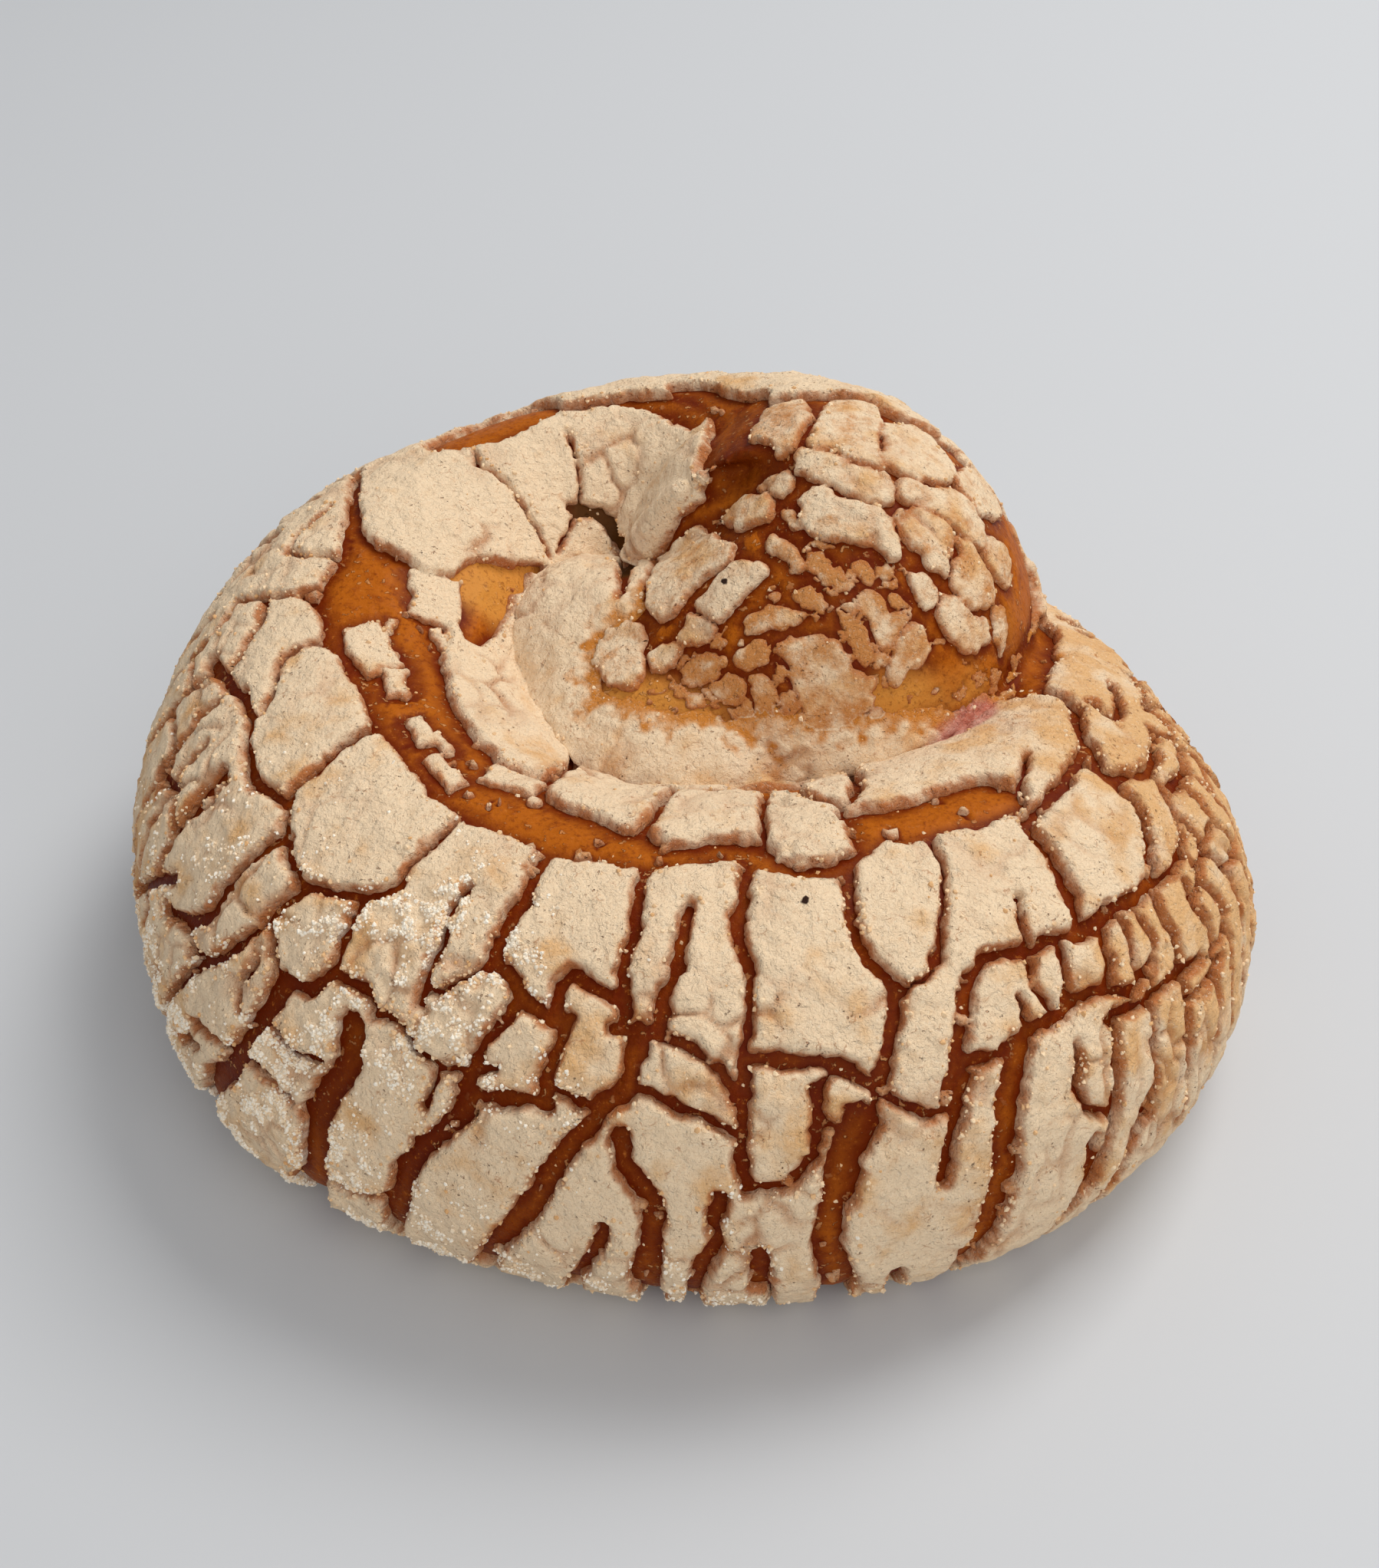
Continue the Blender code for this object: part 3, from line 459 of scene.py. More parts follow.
# The cracks by rows. Each has its gape in mm and its stops, as turn and degrees outwards from the crown.
CRACKS = {
    "between the large plates outside the band": (
        (1.0, (47.8, 9), (48.8, 16), (50, 24), (51.5, 33)),
        (0.5, (59.8, 3), (60.5, 10), (62.5, 16), (64.5, 22), (66.5, 29), (68.5, 33), (70.5, 35)),
        (1.0, (72.8, 3), (73.4, 12), (73.6, 18), (72.7, 26), (71.2, 32), (70.5, 35)),
        (0.8, (84.4, 1), (85, 9), (85.8, 16), (86, 21), (85.6, 28), (85.7, 35), (86.2, 43), (86.5, 50)),
        (0.8, (90.7, 12), (91.3, 18), (92.2, 24), (93.2, 30), (94.5, 38)),
        (1.0, (96.6, -1), (97.5, 8), (97.2, 15), (96.8, 20), (97.6, 27), (97, 36)),
        (1.3, (109.8, -2), (109.9, 8), (109.6, 17), (110.4, 25), (110.4, 30)),
        (0.6, (116, 17), (116.2, 24), (115.8, 30), (116.3, 37), (116, 42)),
        (0.5, (124, -1), (124.3, 9), (124.6, 16), (125, 22)),
        (1.0, (149.7, -2), (148.5, 6), (147, 12), (146, 18), (145.2, 23)),
        (0.3, (175, 1), (175.3, 6), (173.5, 12), (169, 15), (164.5, 20)),
        (0.5, (181, 4), (185.5, 8), (187, 14), (187.6, 19)),
        (0.3, (188, -1), (188.3, 6), (187, 12)),
        (0.4, (195.3, -1), (195.8, 7), (195.6, 13), (197, 19), (202, 19), (207, 15)),
    ),
    "below the large plates": (
        (1.0, (32, 10), (33.5, 18), (34.3, 26), (37, 32), (40.5, 38)),
        (1.3, (40, 38), (43, 38), (46, 35.5), (49.5, 34.5), (52.5, 35)),
        (0.7, (52, 34), (55.5, 34), (58.5, 34), (62, 32), (64.5, 33.5)),
        (0.4, (55.3, 24), (56.5, 29), (57.2, 33)),
        (1.1, (70.8, 35), (71.6, 40), (73, 46), (74.5, 51)),
        (1.1, (74.8, 51), (77, 47.5), (80, 44.5), (83, 43.2), (86, 42.5)),
        (0.8, (86.5, 49), (88.4, 45), (91, 42), (95, 40), (98, 38)),
        (1.0, (97.3, 33), (100, 30.5), (102.6, 28.5), (103.6, 32), (104.2, 37.5)),
        (1.1, (104, 38), (106.5, 35.5), (108.8, 31.5), (110.5, 28)),
        (0.9, (124.8, 22), (128, 26.5), (131, 28.5), (135.5, 33), (138.3, 30), (139.6, 28), (144, 24)),
        (1.0, (144, 24), (148.5, 26), (152, 28.3), (156, 27.2), (160.5, 26.5), (164.5, 23)),
        (1.1, (164.5, 22.5), (169, 23.5), (173, 26), (177.5, 30), (181, 34)),
        (0.5, (175, 27), (178.5, 22), (183, 20.5), (188, 22), (189.5, 30), (186.5, 34.5)),
        (0.5, (107.5, 51), (112, 51.5), (115.5, 50.3), (117, 46), (119.5, 45), (121.5, 46.5)),
        (0.7, (121, 46), (122.5, 43.5), (127, 43)),
        (0.5, (110.5, 29), (112.3, 34), (114, 38.5), (116, 38)),
    ),
    "between the small plates of the middle row": (
        (0.8, (49.8, 36), (51, 43), (52.5, 49)),
        (0.7, (54.3, 34), (55.2, 40), (56.2, 46), (57.2, 49.5)),
        (0.6, (58, 35), (58.5, 41), (58.2, 47)),
        (0.4, (60.5, 42), (61.3, 47)),
        (1.0, (64.4, 34), (65.6, 40), (66.4, 46), (67.6, 52), (68.8, 57)),
        (1.0, (46, 50), (49.5, 53), (52.5, 49.5), (55, 48), (58, 49), (61.3, 47.5), (64, 50), (66.5, 50)),
        (0.7, (68.5, 58), (70.8, 58.3), (72.8, 54.5), (74.5, 51.5)),
        (0.4, (74.6, 51), (75.2, 57), (77.2, 59.7), (79.2, 56), (79.4, 50), (78.3, 47.5)),
        (0.7, (79.6, 50), (79.4, 57), (80.2, 63), (82.5, 68), (85.4, 69)),
        (1.0, (85.5, 46), (85.8, 54), (86.2, 62), (86, 69)),
        (0.7, (86.3, 58), (89, 54.5), (92.5, 52.5), (96.3, 50)),
        (1.4, (95.8, 39), (96.3, 45), (96.5, 50)),
        (0.7, (97.4, 49), (99.5, 53.5), (101, 53), (103.5, 51)),
        (1.1, (102.6, 37), (103.6, 44), (104.2, 50), (103.2, 55.5), (106, 55.6), (109.5, 56)),
        (1.0, (107.3, 37), (108.2, 43), (109, 49), (110, 54)),
        (0.5, (112.2, 52), (112.9, 58), (113.6, 61)),
        (0.9, (128.4, 27), (128, 35), (127.3, 42), (129, 48), (131.5, 49.5)),
        (0.5, (131.5, 50), (133, 46), (134.8, 43)),
        (0.9, (134.6, 33), (135.4, 40), (136.2, 46), (137.6, 53), (139.3, 60), (141.5, 68)),
        (0.7, (134.6, 48), (135.2, 55), (134.5, 60)),
        (1.2, (140.7, 30), (141.2, 38), (141.4, 46), (142, 54), (144, 59), (148, 62), (153, 63)),
        (0.9, (139.5, 60), (142, 61), (144, 59)),
        (1.2, (152.5, 56), (156, 59), (158.4, 63), (161, 69), (164, 75), (168, 82)),
        (0.3, (172, 28), (172.3, 36), (170.5, 44), (168.6, 54)),
        (0.3, (156, 33), (155.6, 39), (157.5, 45)),
    ),
    "the long fan of strips down to the base": (
        (1.3, (50.6, 76), (52.5, 84), (54, 92), (55.5, 104), (56, 118)),
        (1.2, (57.3, 78), (57.8, 86), (59.5, 96), (60.5, 110), (61, 126)),
        (2.2,
         (62.4, 50), (63.4, 59), (64.3, 68), (65.2, 78), (66.2, 88), (67.4, 99), (68.6, 112), (69, 130)),
        (1.0, (66.5, 53), (68, 60), (69.4, 66), (69.9, 73)),
        (2.9, (76.2, 57), (78, 66), (79, 76), (79.2, 86), (78.6, 96), (78.3, 110), (78.2, 130)),
        (1.0, (73.4, 98), (73.1, 112), (73, 126)),
        (1.4, (84.9, 85), (84.8, 92), (85.2, 99)),
        (0.4, (84.4, 99), (83.6, 116), (83.4, 130)),
        (1.3, (88.3, 71), (88.9, 78), (88.6, 83), (90, 89), (90.7, 97), (91.3, 110), (91.4, 128)),
        (2.0,
         (96.4, 60), (95.7, 66), (94, 71.5), (94.1, 80), (94.5, 90), (94.6, 102), (94.8, 118),
         (95, 130)),
        (1.3, (98.3, 79), (98.6, 87), (99.8, 95), (101, 104), (101.7, 120)),
        (1.8,
         (96.5, 50), (98.5, 55), (100.4, 62), (102.5, 69), (104, 76), (105.6, 84), (107.2, 94),
         (109, 112)),
        (2.1, (109, 56), (110.8, 63), (113.3, 70), (115, 79), (116, 88), (117.2, 98), (118, 124)),
        (0.8, (115.5, 85), (118, 88.5), (121, 89), (124.5, 89.5)),
        (2.7,
         (123.6, 51), (122.8, 58), (123.8, 66), (125, 75), (125.6, 85), (126.3, 95), (128.5, 108),
         (130, 126)),
        (2.3,
         (131.4, 50), (132.1, 58), (133, 66), (134.2, 74), (135.8, 83), (137.5, 93), (140, 106),
         (142, 124)),
        (0.7, (126, 61), (128.5, 62.5), (131, 60)),
        (0.7, (127.5, 74), (130, 71.5), (132.5, 71)),
        (1.0, (141, 67), (143, 74), (145.5, 81), (149, 89), (153, 102), (156, 120)),
        (1.0, (138, 79), (140, 82), (142.3, 85.5)),
        (0.5, (134, 70.5), (136, 72), (139, 75)),
    ),
    "the right flank": (
        (1.0,
         (10.4, -13), (11.6, -5), (14.2, 1), (18.5, 4.7), (24, 6), (28, 8.6), (34, 8.6), (40, 8.6),
         (47, 9)),
        (0.7, (15, 9), (17.8, 12), (18.8, 14.3), (16.5, 17), (12, 19.5), (7, 21)),
        (0.9, (27, 8.6), (29.7, 12.5), (31.8, 16), (31.4, 19), (28.5, 23), (26, 26.5), (20, 27)),
        (1.2, (31.5, 17), (33.2, 18.5)),
        (0.8, (3, 36.5), (8, 35.2), (12, 31), (11.5, 33.5), (17, 36), (23.5, 36), (27, 32)),
        (0.7, (27.5, 27), (29.5, 32), (32, 37.5), (36.5, 39.5), (40, 38.5)),
        (0.7, (-6, 47), (-1, 41), (3, 37)),
        (0.5, (36, -4), (39.5, -0.5), (43, 3)),
        (0.6,
         (41.3, 40), (42.4, 46), (42.8, 53), (43.6, 60), (44.4, 68), (45.4, 77), (46.4, 90), (47, 110)),
        (0.5, (44.6, 40), (45, 47), (46.8, 54), (48.4, 59), (49.2, 66), (49.7, 74), (51, 82)),
        (0.5, (46.8, 37), (47.6, 43), (48.6, 49), (49.2, 53)),
        (0.9, (52.6, 55), (53.6, 61), (54.4, 68), (54.9, 75), (56.4, 84), (57.4, 92)),
        (0.6, (57.2, 56), (58.1, 63), (57.5, 69), (56, 73), (54.6, 75)),
        (0.7, (40, 61), (43.5, 58), (47, 57), (50.5, 56), (53.5, 55)),
        (0.5, (37, 66), (40.5, 66), (43.8, 64)),
        (0.6, (37, 44), (38.4, 50), (37.4, 56), (38, 62), (38.8, 70), (40.4, 80), (41.4, 96), (42, 112)),
        (0.6, (33.5, 40), (34.6, 48), (34, 56), (35, 66), (36.4, 78), (37, 95), (37.4, 112)),
        (0.6, (30, 38), (31, 47), (30.2, 56), (31.4, 68), (32.4, 84), (33, 105)),
        (0.5, (26, 36), (27, 45), (26.6, 54), (27.6, 66), (28.6, 84), (29, 108)),
        (0.5, (22.6, 38), (23, 47), (22.6, 56), (23.6, 68), (24.6, 88), (25, 110)),
        (0.6, (28, 46), (31, 45), (34.5, 47), (38, 49.5)),
        (0.6, (34, 60), (36.5, 63), (38.5, 62.5)),
        (0.5, (23, 56), (26.6, 58), (30.4, 55)),
    ),
    "the inner slope": (
        (0.9, (69.5, -13), (68.4, -7), (68, -2), (69.6, 2.5)),
        (0.6, (80.4, -28), (80.7, -18), (81.2, -10), (82, -4)),
        (0.9, (96.5, -32), (97.6, -24), (98.5, -14), (99.3, -8)),
        (0.9, (118, -15), (119.6, -22), (121, -31), (124, -40), (130, -45), (142, -47), (152, -50)),
        (0.7, (68, -16), (63, -24), (58, -33), (52, -45)),
        (0.9, (69, -16), (73, -21), (75, -28), (79, -30), (85, -33), (92, -31), (96, -31)),
        (0.5, (97, -33), (102, -38), (110, -42), (120, -44)),
    ),
    "the far slope": (
        (0.15, (235, -42), (235, -30), (234, -20), (232, -10), (234, -2)),
        (0.15, (251, -38), (253.5, -30), (255, -22), (254, -13)),
        (0.8, (196, -15), (197.5, -22), (201, -27), (210, -31), (219, -38), (230, -43)),
        (0.2, (240, -43), (246, -41), (251, -36), (256, -40), (262, -46)),
    ),
}
# Plates on the bare dough: turn, across, length along the rope, width across it, and lean in degrees.
FLAKES_ALONG_ROPE = (
    (124.5, -17, 6.4, 3.4, 8), (136, -8, 5.2, 2.3, 0), (143.5, -12, 3.6, 1.3, 8),
    (147, -9, 4.6, 2.2, -3), (160.5, -10.6, 4.6, 2.2, -16), (172, -8, 8.2, 4.4, 14),
    (181, -24, 1.8, 1.4, 0), (192, -22.5, 7, 6.2, 4), (180, -12.5, 2, 1.1, 0), (174, -27, 6, 1.6, 4),
    (118, -13, 1.4, 1.2, 0), (75, -6, 7.6, 5.6, -6), (77.6, -21, 3.2, 5.2, 0), (64, -3, 1.5, 1, 0),
    (104, -5, 1, 0.8, 0), (128, -7, 1, 0.7, 0),
)
# Where no side of the roll was seen, cracks follow a rule: strips down the flank, cut across here and
# there. Each flank has its first and last turn and the width of a strip, in degrees.
HIDDEN_FLANKS = ((-34, 21, 3.6), (158, 246, 6.5), (250, 338, 7.5))
HIDDEN_KNOB = ((288, 348), (16, 78), (9, 15))  # turns, angles across, and a plate's size in each
SEED = 11
# A crack's wanderings, from the widest to the finest: their size and how far they reach, in mm.
RAGGEDNESS = ((10, 1.1), (3, 0.42), (1.5, 0.32), (0.8, 0.28))
WIDENING, NARROWEST = 1.12, 0.17  # a crack's half width in mm is this times its gape's half, plus this
CLEAR_OF_FLOOR = 0.5  # the crust's lower edge, in mm above the floor
FARTHEST = 6  # depths past this are all alike
APRON_WIDTH = 6  # how far round the knob the crust is a thin film that amber dough shows through, in mm
KNOB_CREST = 50  # above this height in mm even the skin that faces sideways belongs to the knob's top
UPWARD, STEEPEST = 0.04, 0.3  # the least rise of a normal that faces up, and the least that is reckoned with
# Seen from above, the knob's front fades out over this many mm up to this y.
KNOB_FRONT, FRONT_BLEND = 11, 5
# How ragged the bare top's edge is: the size of its wanderings, and their reach at the back and how much
# more of it at the front, in mm.
BARE_EDGE = ((2.8, 0.2, 1.6), (1.1, 0.3, 0.6))
PLATE_SPREAD = 0.1  # how far the knob's plates reach past their outlines, in mm
CORNER_CUT = 0.12  # the share of each side that is cut off at a plate's corners
# Over the knob's front the paste is a film that broke into flakes: where, their size and gaps in mm, how
# thick they are and how brown they baked.
FLAKY = (
    (-4, -9), (-4.5, -4), (-1, -2.4), (4, -4), (8, -2), (11, -0.5), (13, 2.4), (17, 1.4), (21, 0.2),
    (25, -0.6), (28.5, -4.6), (33, -4), (36, -1), (38, 2), (36, -5), (30, -9), (22, -12), (12, -12.5),
    (3, -11),
)
FLAKE_SIZE, FLAKE_GAP, FILM_THICKNESS, FILM_BROWNING = 3.2, 0.42, 0.36, 0.9
FILM_EDGE = (2.5, 1.2)  # the size of its edge's wanderings and how far they reach, in mm
# The same for the finest fraying: of flakes, and of plates as they are browner.
FRAY_SIZE, FLAKE_FRAY, PLATE_FRAY = 0.9, 0.4, 0.35
# Scraps of crust left in the gaps: their size in mm, how far apart they keep, how rare they are, the size
# in mm of the groups that they come in, and how brown they baked.
SCRAP_SIZE, SCRAP_GAP, SCRAP_RARITY, SCRAP_GROUP, SCRAP_BROWNING = 1.9, 0.22, 0.42, 2.3, 0.5
THICKNESS, FLAKE_THICKNESS = 1.5, 0.9  # of a full plate and of a flake on the band, in mm


def hidden_cracks():
    """Cracks for the flanks that no view showed: down the flank with short links, as the seen ones."""
    rng = random.Random(SEED)
    cracks = []
    for first, last, width in HIDDEN_FLANKS:
        turn = first
        while turn < last:
            lean = rng.uniform(-2, 2)
            top = rng.uniform(26, 44)
            gape = rng.uniform(0.5, 1.3)
            cracks.append((gape, (turn, top), (turn + lean, 75), (turn + 1.6 * lean, 126)))
            for level in (48, 72, 96):
                if rng.random() < 0.7:
                    across = level + rng.uniform(-9, 9)
                    beyond = (turn + width, across + rng.uniform(-7, 7))
                    cracks.append((rng.uniform(0.4, 0.9), (turn, across), beyond))
            turn += width * rng.uniform(0.75, 1.25)
    return cracks


def hidden_flakes():
    """Bricks of crust over the knob's far flank."""
    rng = random.Random(SEED)
    turns, across, size = HIDDEN_KNOB
    flakes = []
    for row, a in enumerate(np.arange(*across, size[1])):
        for t in np.arange(turns[0] + 4 * (row % 2), turns[1], size[0]):
            place = (t + rng.uniform(-1.5, 1.5), a + rng.uniform(-2, 2))
            flakes.append((*place, rng.uniform(4.5, 6.5), rng.uniform(5, 7), rng.uniform(-12, 12)))
    return flakes


def stroke(points, half_widths):
    """Samples every half millimetre along a line, each with its half width."""
    samples = []
    for a, b, wide_a, wide_b in zip(points, points[1:], half_widths, half_widths[1:]):
        s = np.linspace(0, 1, 2 + int(2 * np.linalg.norm(b - a)))[:, None]
        samples.append(np.hstack([a + (b - a) * s, wide_a + (wide_b - wide_a) * s]))
    return np.concatenate(samples)


def seen_from_above(x, y):
    """The point of the skin over x, y."""
    well_above = Vector((x, y, 200))
    return np.array(skin.ray_cast(well_above, Vector((0, 0, -1)))[0])


def on_skin(points):
    return np.array([skin.find_nearest(p)[0] for p in points.tolist()])


def gaps_in_crust():
    """Every crack and bare stretch, as samples on the skin with their half widths."""
    strokes = []
    for gape, *stops in [*hidden_cracks(), *(c for row in CRACKS.values() for c in row)]:
        turn, across = np.array(stops, float).T
        strokes.append(stroke(rope_points(turn, across), [WIDENING * gape / 2 + NARROWEST] * len(stops)))
    for stops in BARE_ALONG_ROPE:
        turn, across, half_width = np.array(stops, float).T
        strokes.append(stroke(rope_points(turn, across), half_width))
    for stops in BARE_IN_PLAN:
        points = np.array([seen_from_above(x, y) for x, y, _ in stops])
        strokes.append(stroke(points, [half_width for _, _, half_width in stops]))
    gaps = np.concatenate(strokes)
    return on_skin(gaps[:, :3]), gaps[:, 3]


def flakes_of_crust():
    """Each flake as its centre, its two axes, its half length and its half width."""
    flakes = []
    for turn, across, length, width, lean in [*FLAKES_ALONG_ROPE, *hidden_flakes()]:
        centre, ahead = rope_points([turn, turn + 1], across)
        place, normal, _, _ = skin.find_nearest(Vector(centre))
        flakes.append((np.array(place), ahead - centre, np.array(normal), length, width, lean))
    for centre, along, normal, length, width, lean in flakes:
        normal = normal / np.linalg.norm(normal)
        along = along - normal * along.dot(normal)
        along /= np.linalg.norm(along)
        over = np.cross(normal, along)
        c, s = math.cos(math.radians(lean)), math.sin(math.radians(lean))
        yield centre, along * c + over * s, over * c - along * s, length / 2, width / 2


def grain(points, size):
    """Smooth noise from -1 to 1, with lumps of about this size in mm."""
    return np.array([noise.noise(p) for p in (points / size).tolist()])


def ragged(points, normals):
    """The points pushed about along the skin by noise, so that every crack measured from them is ragged."""
    noise.seed_set(SEED)
    push = np.zeros_like(points)
    for size, far in RAGGEDNESS:
        push += far * np.array([noise.noise_vector(p) for p in (points / size).tolist()])
    return points + push - normals * (push * normals).sum(axis=1)[:, None]


def clearance(points, centres, half_widths):
    """How far each point is from the nearest sample's edge, worked out block by block."""
    block = 4.0
    _, which = np.unique(np.floor(points / block).astype(int), axis=0, return_inverse=True)
    order = np.argsort(which.ravel(), kind="stable")
    depth = np.full(len(points), float(FARTHEST))
    for part in np.split(order, np.cumsum(np.bincount(which.ravel()))[:-1]):
        to_middle = np.linalg.norm(centres - points[part].mean(axis=0), axis=1)
        near = to_middle < half_widths + FARTHEST + block
        if near.any():
            apart = np.linalg.norm(points[part][:, None] - centres[near][None], axis=2)
            depth[part] = np.minimum(FARTHEST, (apart - half_widths[near]).min(axis=1))
    return depth


def rounded_off(outline):
    """The outline with each corner cut into two."""
    corners = np.array(outline, float)
    after = np.roll(corners, -1, axis=0)
    near, far = 1 - CORNER_CUT, CORNER_CUT
    return np.stack([near * corners + far * after, far * corners + near * after], 1).reshape(-1, 2)


def inside_outline(plan, outline):
    """How far each point lies inside an outline, in mm; below zero it is outside."""
    corners = rounded_off(outline)
    reach = np.full(len(plan), float(FARTHEST))
    inside = np.zeros(len(plan), bool)
    for a, b in zip(corners, np.roll(corners, -1, axis=0)):
        along = b - a
        share = np.clip((plan - a) @ along / (along @ along), 0, 1)[:, None]
        reach = np.minimum(reach, np.linalg.norm(plan - a - share * along, axis=1))
        between = (a[1] > plan[:, 1]) != (b[1] > plan[:, 1])
        crossing = a[0] + (plan[:, 1] - a[1]) * along[0] / (along[1] or 1)
        inside ^= between & (plan[:, 0] < crossing)
    return np.where(inside, reach, -reach)


def over_the_knob(moved, normals, crust):
    """The crust once the knob's top is bared and its plates are laid on it."""
    upward = (normals[:, 2] > UPWARD) | (moved[:, 2] > KNOB_CREST)
    where = np.flatnonzero(upward & points_near(moved[:, :2], KNOB_TOP, APRON_WIDTH))
    plan, slope = moved[where, :2], np.maximum(normals[where, 2], STEEPEST)
    bared = inside_outline(plan, KNOB_TOP) / slope
    depth, thickness, browning, _ = crust[where].T
    front = np.clip((KNOB_FRONT - plan[:, 1]) / FRONT_BLEND, 0, 1)
    for size, reach, more in BARE_EDGE:
        depth = np.minimum(depth, (reach + more * front) * grain(moved[where], size) - bared)
    amber = np.clip(1 + bared / APRON_WIDTH, 0, 1) * front
    flaky = inside_outline(plan, FLAKY) + FILM_EDGE[1] * grain(moved[where], FILM_EDGE[0])
    nearest = np.array([noise.voronoi(p)[0][:2] for p in (moved[where] / FLAKE_SIZE).tolist()])
    flake = (nearest[:, 1] - nearest[:, 0]) * FLAKE_SIZE / 2 - FLAKE_GAP
    flake = np.minimum(flake, flaky) + FLAKE_FRAY * grain(moved[where], FRAY_SIZE)
    filmed = flake > np.maximum(depth, 0)
    depth = np.where(filmed, flake, depth)
    thickness[filmed], browning[filmed], amber[filmed] = FILM_THICKNESS, FILM_BROWNING, 0
    for thick, brown, outline in KNOB_PLATES:
        near = np.flatnonzero(points_near(plan, outline, 1))
        frayed = PLATE_SPREAD + PLATE_FRAY * brown * grain(moved[where[near]], FRAY_SIZE)
        inside = (inside_outline(plan[near], outline) + frayed) / slope[near]
        beside = filmed[near]
        depth[near[beside]] = np.minimum(depth[near[beside]], -FLAKE_GAP - inside[beside])
        covered = near[inside > depth[near]]
        depth[covered] = inside[inside > depth[near]]
        thickness[covered], browning[covered], amber[covered] = thick, brown, 0
    crust[where] = np.column_stack([depth, thickness, browning, amber])


def points_near(plan, outline, margin):
    low, high = np.min(outline, axis=0) - margin, np.max(outline, axis=0) + margin
    return ((plan > low) & (plan < high)).all(axis=1)


def laid_crust(points, normals):
    """The crust at each point: how far it is inside a plate (below zero it is on bare dough), how thick the
    plate is there, how brown it baked and how much amber dough shows through."""
    moved = ragged(points, normals)
    depth = clearance(moved, *gaps_in_crust())
    thickness = np.full(len(points), THICKNESS)
    for centre, along, over, half_length, half_width in flakes_of_crust():
        offset = moved - centre
        inside = np.minimum(half_length - abs(offset @ along), half_width - abs(offset @ over))
        near = np.linalg.norm(offset, axis=1) < 1.5 * max(half_length, half_width)
        thickness[near & (inside > np.maximum(depth, -0.5))] = FLAKE_THICKNESS
        depth = np.where(near, np.maximum(depth, inside), depth)
    browning = np.zeros(len(points))
    gaps = np.flatnonzero(depth < 0)
    scraps = np.array([noise.voronoi(p)[0][:2] for p in (moved[gaps] / SCRAP_SIZE).tolist()])
    scraps = (scraps[:, 1] - scraps[:, 0]) * SCRAP_SIZE / 2 - SCRAP_GAP
    scraps = np.minimum(scraps, 3 * (grain(moved[gaps], SCRAP_GROUP) - SCRAP_RARITY))
    left = scraps > np.maximum(depth[gaps], 0)
    depth[gaps[left]] = scraps[left]
    thickness[gaps[left]], browning[gaps[left]] = FLAKE_THICKNESS, SCRAP_BROWNING
    crust = np.column_stack([depth, thickness, browning, np.zeros(len(points))])
    over_the_knob(moved, normals, crust)
    crust[:, 0] = np.minimum(crust[:, 0], points[:, 2] - CLEAR_OF_FLOOR)
    return crust


skin_crust = laid_crust(skin_points, skin_normals)
dough_crust = laid_crust(dough_points, dough_normals)


# ---- The dough's surface ----
# Between the plates the dough swells a little. Its colour deepens in narrow cracks, partly as painted
# shade from the plates, and the sugar that melted into it leaves it mottled and shiny. Painted shade also
# darkens the front left flank and the fold beside the pleat.


def rgb(red, green, blue):
    """A colour as the screen shows it, from 0 to 255 a part, in the renderer's linear light."""
    return tuple((part / 255) ** 2.2 for part in (red, green, blue)) + (1.0,)


# The dough in a narrow crack, with painted shade from the plates beside it; in a wide gap; in its streaks;
# where it baked darkest and where painted shade darkens the front left flank; where it stayed amber; its
# finest mottling, dark and light; melted sugar on it; and the painted shade deep in the fold.
CRACK_BROWN_AND_SHADE, BAKED_BROWN, STREAK_BROWN = rgb(104, 36, 6), rgb(174, 92, 22), rgb(122, 48, 3)
DARKEST_BROWN_AND_SHADE, AMBER = rgb(96, 32, 5), rgb(204, 136, 62)
FINE_BROWN, FINE_GOLD = rgb(96, 34, 2), rgb(200, 118, 48)
MELTED_SUGAR, PAINTED_FOLD_SHADE = rgb(222, 160, 104), rgb(92, 58, 28)
SWELL, SWOLLEN_GAP = 0.35, 3  # how far the dough rises in a gap, and the half width that lets it, in mm
DOUGH_LUMPS = ((3.2, 0.10), (1.2, 0.05))  # size and height of its unevenness, in mm
FLAT_FOOT = 3  # below this height in mm the dough doesn't swell
# Where it stayed amber: x and y as seen from above, radius in mm, and how much.
AMBER_DOUGH = (
    (36, 1, 4, 0.5), (32, -5.5, 4, 0.7), (26, -8.5, 4, 0.8), (21, -10, 4, 0.8), (12, -11, 4, 0.7),
    (2, -9.5, 4, 0.8), (-4, -7, 4, 0.9), (-8, -6, 3, 0.8), (38, 6, 3, 0.3), (-26, 17, 4, 1.2),
    (-23, 22, 4, 1.2), (-28, 12, 3, 0.7), (-22.5, 13, 5, 1.3), (-19, 17, 4, 1.2),
)
# Painted shade deep in the fold beside the pleat, where the light doesn't reach: the dough is painted dull
# and dark there.
FOLD_SHADE_SPOTS = ((-9, 26, 3, 1), (-7, 23, 3, 1), (-6.4, 19, 3, 1), (-6.2, 15, 2.5, 0.9), (-12, 27, 3, 0.7))
# And where it baked darkest, and where painted shade darkens the front left flank, in the same measures.
DARK_BAKE_AND_SHADE = (
    (8, 27, 5, 0.5), (12, 20, 7, 0.4), (6, 17, 6, 0.6), (14, 10, 8, 0.35), (10, 3, 7, 0.3),
    (20, 4, 8, 0.2), (24, 22, 8, 0.3), (0, 1, 6, 0.5), (-3, 12, 5, 0.6), (32, 12, 8, 0.2),
    (16, -2, 6, 0.2),
    # and painted shade down the front left flank, where the light doesn't reach
    (-60, -6, 12, 1), (-56, -26, 12, 1.2), (-44, -42, 12, 1.2), (-26, -54, 10, 1), (-4, -60, 10, 0.7),
    (16, -58, 10, 0.7),
)


